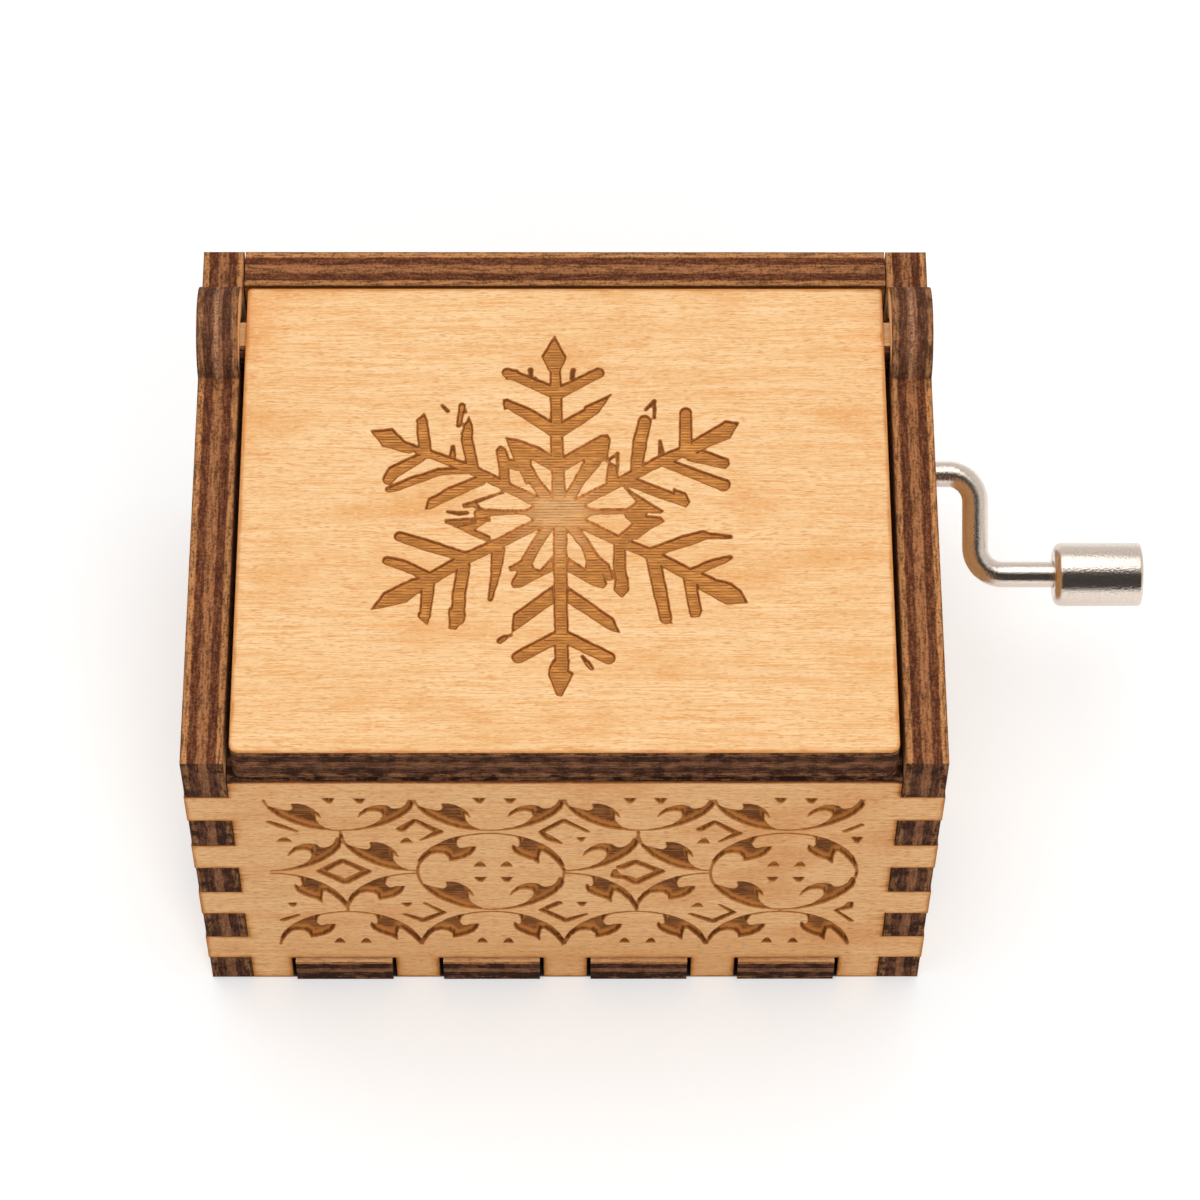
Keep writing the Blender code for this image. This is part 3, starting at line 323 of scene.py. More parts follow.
# plies: five layers across the cut edge of a board, browned by the cut and worn pale where it is handled; how much char
# it gets also carries painted light and shade
tree, given, result = groupOf(
    "plies", {"Across": 0.5, "Streak": None, "Rib": None, "Speck": None, "Char And Shade": 0.5, "Wear": 0.0, "Middle Char": 0.45,
              "Face": shade(222, 154, 94), "Core": shade(108, 58, 35), "Middle": shade(176, 116, 74),
              "Soot": shade(54, 33, 24), "Ash": shade(156, 114, 94), "Worn": shade(206, 170, 142)}, lookSockets)
jitter = noiseOf(scaled(given["Speck"], (0.16,) * 3), 3.0, 0.6)
across = plus(given["Across"], times(minus(jitter, 0.5), 0.06))
ramp = tree.nodes.new("ShaderNodeValToRGB")
tree.links.new(across, ramp.inputs[0])
bands = [(0.0, 0.1), (0.03, 0.75), (0.09, 1.0), (0.145, 0.9), (0.18, 0.0), (0.35, 0.06), (0.40, 0.55), (0.60, 0.5),
         (0.65, 0.0), (0.82, 0.05), (0.86, 0.95), (0.93, 1.0), (0.97, 0.8), (1.0, 0.1)]
while len(ramp.color_ramp.elements) < len(bands):
    ramp.color_ramp.elements.new(0.5)
for element, (where, tone) in zip(ramp.color_ramp.elements, bands):
    element.position, element.color = where, (tone, tone, tone, 1)
tone = put(tree, "ShaderNodeSeparateColor", {0: ramp.outputs[0]}).outputs[0]
streak = noiseOf(given["Streak"], 4.0, 0.7)
rib = noiseOf(given["Rib"], 2.0, 0.6)
colour = blendOf(stepOf(tone, 0.0, 0.5), given["Core"], given["Middle"])
colour = blendOf(stepOf(tone, 0.5, 1.0), colour, given["Face"])
colour = blendOf(stepOf(streak, 0.44, 0.70, 0.0, 0.62), colour, given["Core"])
grit = noiseOf(given["Speck"], 3.0, 0.7)
colour = blendOf(stepOf(grit, 0.48, 0.70, 0.0, 0.48), colour, given["Core"])
colour = blendOf(stepOf(plus(streak, grit), 1.05, 0.80, 0.0, 0.34), colour, given["Middle"])
deeper = stepOf(plus(streak, grit), 0.85, 1.22, 1.06, 0.46)
depth = nodeFor([deeper], "ShaderNodeCombineColor", dict.fromkeys(range(3), deeper))[0]
colour = blendOf(1.0, colour, depth, "MULTIPLY")
colour = blendOf(times(given["Char And Shade"], 0.40), colour, given["Ash"])
sooty = times(given["Char And Shade"], stepOf(plus(streak, jitter), 0.84, 1.16, 0.54, 1.26))
centre = calc("ABSOLUTE", minus(across, 0.52))
sooty = times(sooty, stepOf(centre, 0.09, 0.115, given["Middle Char"], 1.10))  # the middle ply chars least
colour = blendOf(sooty, colour, given["Soot"])
dusty = times(given["Char And Shade"], minus(1.12, given["Char And Shade"]))
ashen = times(dusty, stepOf(grit, 0.45, 0.30))
colour = blendOf(ashen, colour, given["Ash"])
colour = blendOf(times(given["Wear"], stepOf(rib, 0.56, 0.74, 0.0, 0.5)), colour, given["Soot"])
middle = stepOf(calc("ABSOLUTE", minus(across, 0.48)), 0.015, 0.075, 1.0, 0.0)
worn = times(times(middle, given["Wear"]), stepOf(grit, 0.62, 0.42))
colour = blendOf(worn, colour, given["Worn"])
fill(result, {"Color": colour, "Height": plus(times(tone, 0.5), plus(streak, grit))})
plies = tree

# smoke: the soot that a cut finger joint leaves on the faces beside it, plus painted shade: a dark band along the top
# edge under the lid, partly the top rim's scorch, and darkening towards the bottom
tree, given, result = groupOf(
    "smokeAndShade", {"Vector": None, "Edge": 28.3, "Reach": 2.6, "Pitch": 8.95, "First": 10.7, "Amount": 0.0, "Top": 1000.0},
    {"Mask": "NodeSocketFloat"})
split = partsOf(given["Vector"])
inward = calc("DIVIDE", minus(given["Edge"], calc("ABSOLUTE", split[0])), given["Reach"])
near = times(stepOf(inward, 0.0, 1.0, 1.0, 0.0), stepOf(inward, -0.02, 0.0))
beat = calc("DIVIDE", minus(split[1], given["First"]), given["Pitch"])
level = stepOf(calc("COSINE", times(beat, 2 * math.pi)), -0.35, 0.5)
drift = noiseOf(scaled(given["Vector"], (0.22, 1.7, 1.0)), 4.0, 0.65)
mask = times(times(near, level), stepOf(drift, 0.38, 0.80))
# a dark band along the top, under the lid's edge: painted shade, with part of the top rim's scorch
rim = minus(minus(given["Top"], split[1]), times(drift, 0.5))
rim = stepOf(rim, 0.0, 0.42, 0.62, 0.0)
# painted shade: darker towards the bottom, away from the joints
low = times(stepOf(split[1], 2.0, 16.0, 0.42, 0.0), stepOf(inward, 0.2, 1.6))
mask = plus(mask, low)
fill(result, {"Mask": plus(times(mask, given["Amount"]), rim)})
smokeAndShade = tree
print("wood groups made")


def boardMaterial(name, order, look):  # the face of a board; order names grain, cross and depth
    material, tree, shader, place = materialOf(name)
    split = partsOf(place)
    along = vectorOf({k: split["XYZ".index(a)] for k, a in enumerate(order)})
    wood = used(birchGrain, {"Vector": along, "Shift": look["shift"], **look.get("wood", {})})
    burnAndShade, cut, ledge = (put(tree, "ShaderNodeAttribute", attribute_name=a).outputs["Fac"]
                        for a in ("burnAndShade", "cut", "ledge"))
    shaped = used(carved, {"Wood": wood["Color"], "Vector": along, "Cut": cut, "Ledge": ledge,
                           **look.get("carved", {})})
    # this mask carries the joints' soot and painted shade along the top and towards the bottom
    sootAndShade = used(smokeAndShade, {"Vector": along, **look.get("smokeAndShade", {})})["Mask"]
    burnt = used(scorch, {"Wood": shaped["Color"], "Burn And Shade": plus(burnAndShade, sootAndShade), "Vector": along})
    relief = plus(wood["Height"], times(shaped["Height"], cut))
    dress(shader, burnt["Color"], relief, (0.22, 0.06), Roughness=0.68, Specular_IOR_Level=0.08)
    return material


def edgeMaterial(name, axis, low, high, clean=0.0, middleChar=0.45):
    # the cut edge of a board whose thickness runs from low to high, in mm; clean keeps the char, with its painted
    # shade, off its high side
    material, tree, shader, place = materialOf(name)
    split = partsOf(place)
    across = calc("DIVIDE", minus(split["XYZ".index(axis)], low), high - low)
    streak = scaled(place, tuple(4.5 if a == axis else 0.55 for a in "XYZ"))
    rib = scaled(place, tuple(0.12 if a == axis else 3.4 for a in "XYZ"), (5.0, 9.0, 3.0))
    speck = scaled(place, (5.0, 5.0, 5.0))
    charAndShade, wear = (put(tree, "ShaderNodeAttribute", attribute_name=a).outputs["Fac"] for a in ("charAndShade", "wear"))
    if clean:
        charAndShade = times(charAndShade, stepOf(across, 0.86, 0.92, 1.0, 1.0 - clean))
    cut = used(plies, {"Across": across, "Streak": streak, "Rib": rib, "Speck": speck, "Char And Shade": charAndShade,
                       "Wear": wear, "Middle Char": middleChar})
    dress(shader, cut["Color"], cut["Height"], (0.45, 0.09), Roughness=0.8, Specular_IOR_Level=0.04)
    return material


def outlineField(points, px, py):  # signed distance to a closed outline, negative inside
    best, inside = np.full(px.shape, 1e9), np.zeros(px.shape, bool)
    for (ax, ay), (bx, by) in zip(points, points[1:] + points[:1]):
        dx, dy = bx - ax, by - ay
        t = np.clip(((px - ax) * dx + (py - ay) * dy) / max(dx * dx + dy * dy, 1e-12), 0, 1)
        best = np.minimum(best, (px - ax - t * dx) ** 2 + (py - ay - t * dy) ** 2)
        if ay != by:
            inside ^= ((ay > py) != (by > py)) & (px < (bx - ax) * (py - ay) / (by - ay) + ax)
    return np.where(inside, -1.0, 1.0) * np.sqrt(best)


def strokeField(points, px, py):  # signed distance to a stroke whose half width changes along it
    best = np.full(px.shape, 1e9)
    for (ax, ay, aw), (bx, by, bw) in zip(points, points[1:]):
        dx, dy = bx - ax, by - ay
        t = np.clip(((px - ax) * dx + (py - ay) * dy) / max(dx * dx + dy * dy, 1e-12), 0, 1)
        best = np.minimum(best, np.hypot(px - ax - t * dx, py - ay - t * dy) - (aw + (bw - aw) * t))
    return best


def softNoise(width, height, cell, seed):  # smooth noise from -1 to 1 on a grid, in grid steps
    rng = np.random.default_rng(seed)
    values = rng.uniform(-1, 1, (int(height / cell) + 3, int(width / cell) + 3))
    y, x = np.mgrid[0:height, 0:width] / cell
    iy, ix = y.astype(int), x.astype(int)
    fy, fx = y - iy, x - ix
    fy, fx = fy * fy * (3 - 2 * fy), fx * fx * (3 - 2 * fx)
    top = values[iy, ix] * (1 - fx) + values[iy, ix + 1] * fx
    low = values[iy + 1, ix] * (1 - fx) + values[iy + 1, ix + 1] * fx
    return top * (1 - fy) + low * fy


def carvingField(shapes, low, high, step, wobble, seed):  # all shapes on one grid, negative where wood is cut
    xs, ys = np.arange(low[0], high[0], step), np.arange(low[1], high[1], step)
    field = np.full((len(ys), len(xs)), 1.0)
    for shape in shapes:  # a stroke's points have a half width too, and an outline's don't
        stroke = len(shape[0]) == 3
        reach = np.array([p[:2] for p in shape])
        pad = 0.7 + (max(p[2] for p in shape) if stroke else 0)
        i0, i1 = np.searchsorted(xs, [reach[:, 0].min() - pad, reach[:, 0].max() + pad])
        j0, j1 = np.searchsorted(ys, [reach[:, 1].min() - pad, reach[:, 1].max() + pad])
        px, py = np.meshgrid(xs[i0:i1], ys[j0:j1])
        made = (strokeField if stroke else outlineField)(shape, px, py)
        field[j0:j1, i0:i1] = np.minimum(field[j0:j1, i0:i1], made)
    near = np.clip(1 - field / 0.5, 0, 1)
    rough = softNoise(len(xs), len(ys), 0.55 / step, seed) + 0.6 * softNoise(len(xs), len(ys), 0.22 / step, seed + 1)
    return xs, ys, field + wobble * near * rough


def contourLoops(xs, ys, field, level, spacing):  # closed lines where the field has this level
    over = field > level
    case = over[:-1, :-1] + 2 * over[:-1, 1:] + 4 * over[1:, 1:] + 8 * over[1:, :-1]
    wide = field.shape[1]
    sides = {"s": lambda j, i: 2 * (j * wide + i), "n": lambda j, i: 2 * ((j + 1) * wide + i),
             "w": lambda j, i: 2 * (j * wide + i) + 1, "e": lambda j, i: 2 * (j * wide + i + 1) + 1}
    table = {1: ["ws"], 2: ["se"], 3: ["we"], 4: ["en"], 5: ["ws", "en"], 6: ["sn"], 7: ["wn"], 8: ["nw"],
             9: ["ns"], 10: ["se", "nw"], 11: ["ne"], 12: ["ew"], 13: ["es"], 14: ["sw"]}
    linked = {}
    for kind, pairs in table.items():
        rows, columns = np.nonzero(case == kind)
        for first, second in pairs:
            for a, b in zip(sides[first](rows, columns).tolist(), sides[second](rows, columns).tolist()):
                linked.setdefault(a, []).append(b)
                linked.setdefault(b, []).append(a)

    def spot(edge):
        at, upright = edge // 2, edge % 2
        j, i = at // wide, at % wide
        other = field[j + 1, i] if upright else field[j, i + 1]
        t = (level - field[j, i]) / (other - field[j, i])
        return (xs[i] if upright else xs[i] + t * (xs[i + 1] - xs[i]),
                ys[j] + t * (ys[j + 1] - ys[j]) if upright else ys[j])

    loops, done = [], set()
    for start in linked:
        if start in done:
            continue
        line, now = [start], start
        done.add(start)
        while True:
            ahead = [e for e in linked[now] if e not in done]
            if not ahead:
                break
            now = ahead[0]
            done.add(now)
            line.append(now)
        points = [spot(e) for e in line]
        kept, gone = [points[0]], 0.0
        for before, after in zip(points, points[1:]):
            gone += math.hypot(after[0] - before[0], after[1] - before[1])
            if gone >= spacing:
                kept.append(after)
                gone = 0.0
        if len(kept) >= 4:
            loops.append(kept)
    return loops


def valueAt(xs, ys, field, x, y):  # bilinear, for arrays of places
    fx = np.clip((np.asarray(x) - xs[0]) / (xs[1] - xs[0]), 0, len(xs) - 1.001)
    fy = np.clip((np.asarray(y) - ys[0]) / (ys[1] - ys[0]), 0, len(ys) - 1.001)
    i, j = fx.astype(int), fy.astype(int)
    fx, fy = fx - i, fy - j
    return ((field[j, i] * (1 - fx) + field[j, i + 1] * fx) * (1 - fy)
            + (field[j + 1, i] * (1 - fx) + field[j + 1, i + 1] * fx) * fy)


def orderedLoops(faces):  # the outlines of a set of faces, as lists of vertices
    inside = set(faces)
    ahead = {}
    for face in faces:
        for corner in face.loops:
            if not [f for f in corner.edge.link_faces if f is not face and f in inside]:
                ahead[corner.vert] = corner.link_loop_next.vert
    loops = []
    while ahead:
        first, now = next(iter(ahead.items()))
        line = [first]
        del ahead[first]
        while now is not first:
            line.append(now)
            now = ahead.pop(now)
        loops.append(line)
    return loops


def widenCorners(bm, had, wanted):  # the front's two upright corners get a larger radius than the solid's
    front = min(v.co.y for v in bm.verts) / mm
    side = max(abs(v.co.x) for v in bm.verts if v.co.y / mm < front + 2.0) / mm
    for vert in bm.verts:
        out = abs(vert.co.x) / mm - (side - had), front + had - vert.co.y / mm
        if min(out) > -0.01:
            vert.co.x = math.copysign((side - wanted + out[0] * wanted / had) * mm, vert.co.x)
            vert.co.y = (front + wanted - out[1] * wanted / had) * mm


def boardOf(name, body, axis, low, high, seed, grain, look, rebuilt, clean=0.0):
    # a shown copy of a wooden CAD piece: its outer faces are remade with their carving and scorched rims
    bm = bmesh.new()
    bm.from_mesh(nodes[name].data)
    bmesh.ops.remove_doubles(bm, verts=bm.verts, dist=1e-6)
    layers = {a: bm.verts.layers.float.new(a) for a in ("burnAndShade", "cut", "ledge")}
    charAndShadeLayer, wearLayer = (bm.faces.layers.float.new(a) for a in ("charAndShade", "wear"))
    across = "XYZ".index(axis)
    if "corner" in look:
        widenCorners(bm, *look["corner"])
    for face in bm.faces:
        face.material_index = 0 if abs(face.normal[across]) > 0.99 else 1
        face[charAndShadeLayer], face[wearLayer] = charAndShadeOf(name, face.normal, face.calc_center_median() / mm)
    for plan in rebuilt:
        carveFace(bm, across, plan, layers, seed)
    for edge in bm.edges:
        edge.smooth = len(edge.link_faces) == 2 and edge.calc_face_angle(0) < crease["wood"]
    mesh = bpy.data.meshes.new(name + "_shown")
    bm.to_mesh(mesh)
    bm.free()
    for polygon in mesh.polygons:
        polygon.use_smooth = True
    mesh.materials.append(boardMaterial(name + "_face", grain, look))
    mesh.materials.append(edgeMaterial(name + "_edge", axis, low, high, clean, look.get("middleChar", 0.45)))
    piece = bpy.data.objects.new(name + "_shown", mesh)
    bpy.context.scene.collection.objects.link(piece)
    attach(piece, body)
    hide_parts(name)
    print(name, "made,", len(mesh.polygons), "faces")


# carving grids, in mm: the step of the rim's distances, how far they go past the rim, how far apart the points
# between the carving's lines stand, and how near the rim a line may come
grids = {"step": 0.1, "past": 1.0, "between": 0.40, "clear": 0.25}


def flatFaces(bm, across, widthAxis, plan):
    # the flat faces at plan's value and their outlines; a face with pockets is taken out at once, whole
    value = plan["value"]
    flat = [f for f in bm.faces if f.normal[across] * plan["way"] > 0.99
            and abs(f.calc_center_median()[across] / mm - value) < 0.02]
    loops = orderedLoops(flat)
    if "pockets" not in plan:
        return flat, loops
    known = set(flat)
    within = [f for f in bm.faces if f not in known
              and max(abs(v.co[across] / mm - value) for v in f.verts) < plan["pockets"] + 0.05]
    widest = max(loops, key=lambda line: np.ptp([v.co[widthAxis] for v in line]))
    bmesh.ops.delete(bm, geom=within + flat, context="FACES")
    return [], [widest]


def edgeDistance(rims, xs, ys):  # signed distance to the edge of a face with holes, negative in the wood
    px, py = np.meshgrid(xs, ys)
    outer = max(range(len(rims)), key=lambda k: np.ptp([p[0] for p in rims[k]]))
    signed = [outlineField(rim, px, py) * (1 if k == outer else -1) for k, rim in enumerate(rims)]
    return np.maximum.reduce(signed)


def addLoop(points, lines, loop):  # a closed line that the new faces follow
    start = len(points)
    points += loop
    lines += [(start + k, start + (k + 1) % len(loop)) for k in range(len(loop))]


def betweenPoints(xs, ys, field, low, high, below, seed):  # uneven points on the carving's floor
    columns, rows = (np.arange(low[k], high[k], grids["between"]) for k in (0, 1))
    grid = np.array([(x, y) for x in columns for y in rows])
    grid += np.random.default_rng(seed).uniform(-0.1, 0.1, grid.shape)
    return list(map(tuple, grid[valueAt(xs, ys, field, grid[:, 0], grid[:, 1]) < below]))


def carvedLooks(plan, at, turn, burnsAndShade, seed):
    # how deep, burnt and torn each spot is; at is its distance from the drawn outline and turn is how far its
    # wall faces down; walls that face down get more burn as painted shade, and walls that face up less burn and the
    # paler ledge as painted light
    wheres, downs, scorches = zip(*reversed(plan["profile"]))
    gentle = 1 - plan["gentle"] * np.clip(-turn, 0, 1)
    depths = np.interp(np.where(at < 0, at * gentle, at), wheres, downs)
    upper, lower = plan["burnAndShadeSides"]
    amount = np.interp(at, wheres, scorches)
    # the burn is scaled by which way a wall faces: painted shade on walls that face down, painted light on walls that
    # face up
    burnsAndShade = np.maximum(burnsAndShade * (at > 0), amount * (lower + (upper - lower) * (turn + 1) / 2))
    ledges = np.clip(-1.6 * turn - 0.1, 0, 1) * np.interp(at * gentle, *plan["ledge"])
    uneven = np.random.default_rng(seed).uniform(-1, 1, len(at)) * plan["rough"]
    return depths + (depths > 0.9 * plan["profile"][-1][1]) * uneven, burnsAndShade, ledges


def carveFace(bm, across, plan, layers, seed):
    # takes out the flat face at plan's value and puts back one that follows the carving
    flatAxes = [k for k in range(3) if k != across]
    sign, carving = plan["way"], plan.get("profile")
    flat, loops = flatFaces(bm, across, flatAxes[0], plan)
    rims = [[(v.co[flatAxes[0]] / mm, v.co[flatAxes[1]] / mm) for v in line] for line in loops]
    allRim = np.array([p for rim in rims for p in rim])
    low, high = allRim.min(0) - grids["past"], allRim.max(0) + grids["past"]
    gx, gy = (np.arange(low[k], high[k], grids["step"]) for k in (0, 1))
    edgeField = edgeDistance(rims, gx, gy)
    uneven = 0.10 * softNoise(len(gx), len(gy), 9, seed + 5)
    points, lines, vertices = [], [], [v for line in loops for v in line]
    for rim in rims:
        addLoop(points, lines, rim)
    for where, _ in plan["haloes"]:
        for loop in contourLoops(gx, gy, edgeField + uneven * (where / 0.5), -where, 0.6):
            addLoop(points, lines, loop)
    if carving:
        xs, ys, field = carvingField(plan["shapes"], low, high, plan["step"], plan["wobble"], seed)
        slopeY, slopeX = np.gradient(field, plan["step"])
        facing = np.clip(slopeY / np.maximum(np.hypot(slopeX, slopeY), 0.05), -1, 1)  # 1 at a wall that faces down
        for where, _, _ in carving:
            for loop in contourLoops(xs, ys, field, where, plan["spacing"]):
                if valueAt(gx, gy, edgeField, *zip(*loop)).max() <= -grids["clear"]:
                    addLoop(points, lines, loop)
        points += betweenPoints(xs, ys, field, low, high, carving[-1][0] - 0.10, seed)
    made, _, faces, fromPoint, _, _ = delaunay_2d_cdt([Vector(p) for p in points], lines, [], 0, 1e-5, True)
    spots = np.array([tuple(v) for v in made])
    inward = -valueAt(gx, gy, edgeField + uneven, spots[:, 0], spots[:, 1])
    burnsAndShade = np.interp(inward, *zip((0.0, plan["rimBurn"]), *plan["haloes"]))
    depths, cuts, ledges = np.zeros((3, len(spots)))
    if carving:
        at, turn = (valueAt(xs, ys, each, spots[:, 0], spots[:, 1]) for each in (field, facing))
        depths, burnsAndShade, ledges = carvedLooks(plan, at, turn, burnsAndShade, seed + 2)
        cuts = depths / carving[-1][1]
    if "fade" in plan:  # the carving is paler towards its middle
        fade = plan["fade"]
        far = np.hypot(spots[:, 0] - fade["centre"][0], spots[:, 1] - fade["centre"][1])
        shown = np.interp(far, fade["reach"], fade["least"])
        burnsAndShade = np.where(depths > 0, burnsAndShade * shown, burnsAndShade)
        cuts = cuts * shown
    placed = []
    for k, spot in enumerate(spots):
        origin = min(fromPoint[k]) if len(fromPoint[k]) else None
        if origin is not None and origin < len(vertices):
            vertices[origin][layers["burnAndShade"]] = plan["rimBurn"]
            placed.append(vertices[origin])
            continue
        co = [0.0, 0.0, 0.0]
        co[across] = (plan["value"] - sign * depths[k]) * mm
        co[flatAxes[0]], co[flatAxes[1]] = spot[0] * mm, spot[1] * mm
        vertex = bm.verts.new(co)
        for label, values in (("burnAndShade", burnsAndShade), ("cut", cuts), ("ledge", ledges)):
            vertex[layers[label]] = values[k]
        placed.append(vertex)
    centres = np.array([spots[list(f)].mean(0) for f in faces])
    inside = np.zeros(len(faces), bool)
    for rim in rims:
        inside ^= outlineField(rim, *centres.T) < 0
    if flat:
        bmesh.ops.delete(bm, geom=flat, context="FACES_KEEP_BOUNDARY")
    flip = (sign > 0) == (across == 1)
    for face in (f for keep, f in zip(inside, faces) if keep):
        ring = [placed[i] for i in face]
        turned = Vector(spots[face[1]] - spots[face[0]]).cross(Vector(spots[face[2]] - spots[face[0]]))
        if (turned < 0) != flip:
            ring.reverse()
        if len(set(ring)) == len(ring):
            bm.faces.new(ring)


edgeHeights = {"frontTop": 38.0, "lobeTop": 41.4}  # in mm, above which an edge is the front's or a lobe's top


def charAndShadeOf(name, normal, spot):  # how black and how worn a cut edge is
    if name == "bottom_panel":
        return 0.94, 0.0
    if name == "lid_panel":
        return 0.74, 0.0
    # the front's top edge under the lid is dark: its own char plus painted shade under the lid
    if name == "front_panel" and normal[2] > 0.7 and spot[2] > edgeHeights["frontTop"]:
        return 0.85, 0.0
    if spot[2] > edgeHeights["lobeTop"] and abs(normal[0]) < 0.5:
        return 0.50, 0.35
    # edges that face up get little char and the others much: painted light from above on the cut's own char
    if normal[2] > 0.7:
        return 0.10, 0.0
    return 0.70, 0.0


rims = {"haloes": [(0.12, 0.34), (0.35, 0.09), (0.8, 0.0)], "rimBurn": 0.62}
carvingGrid = {"step": 0.05, "wobble": 0.035, "spacing": 0.13}
case = {"ply": 3.6, "front": -25.65, "back": 25.65, "side": 32.0}
lidBox = [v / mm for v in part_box("lid_panel")]
frontBox = [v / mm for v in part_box("front_panel")]

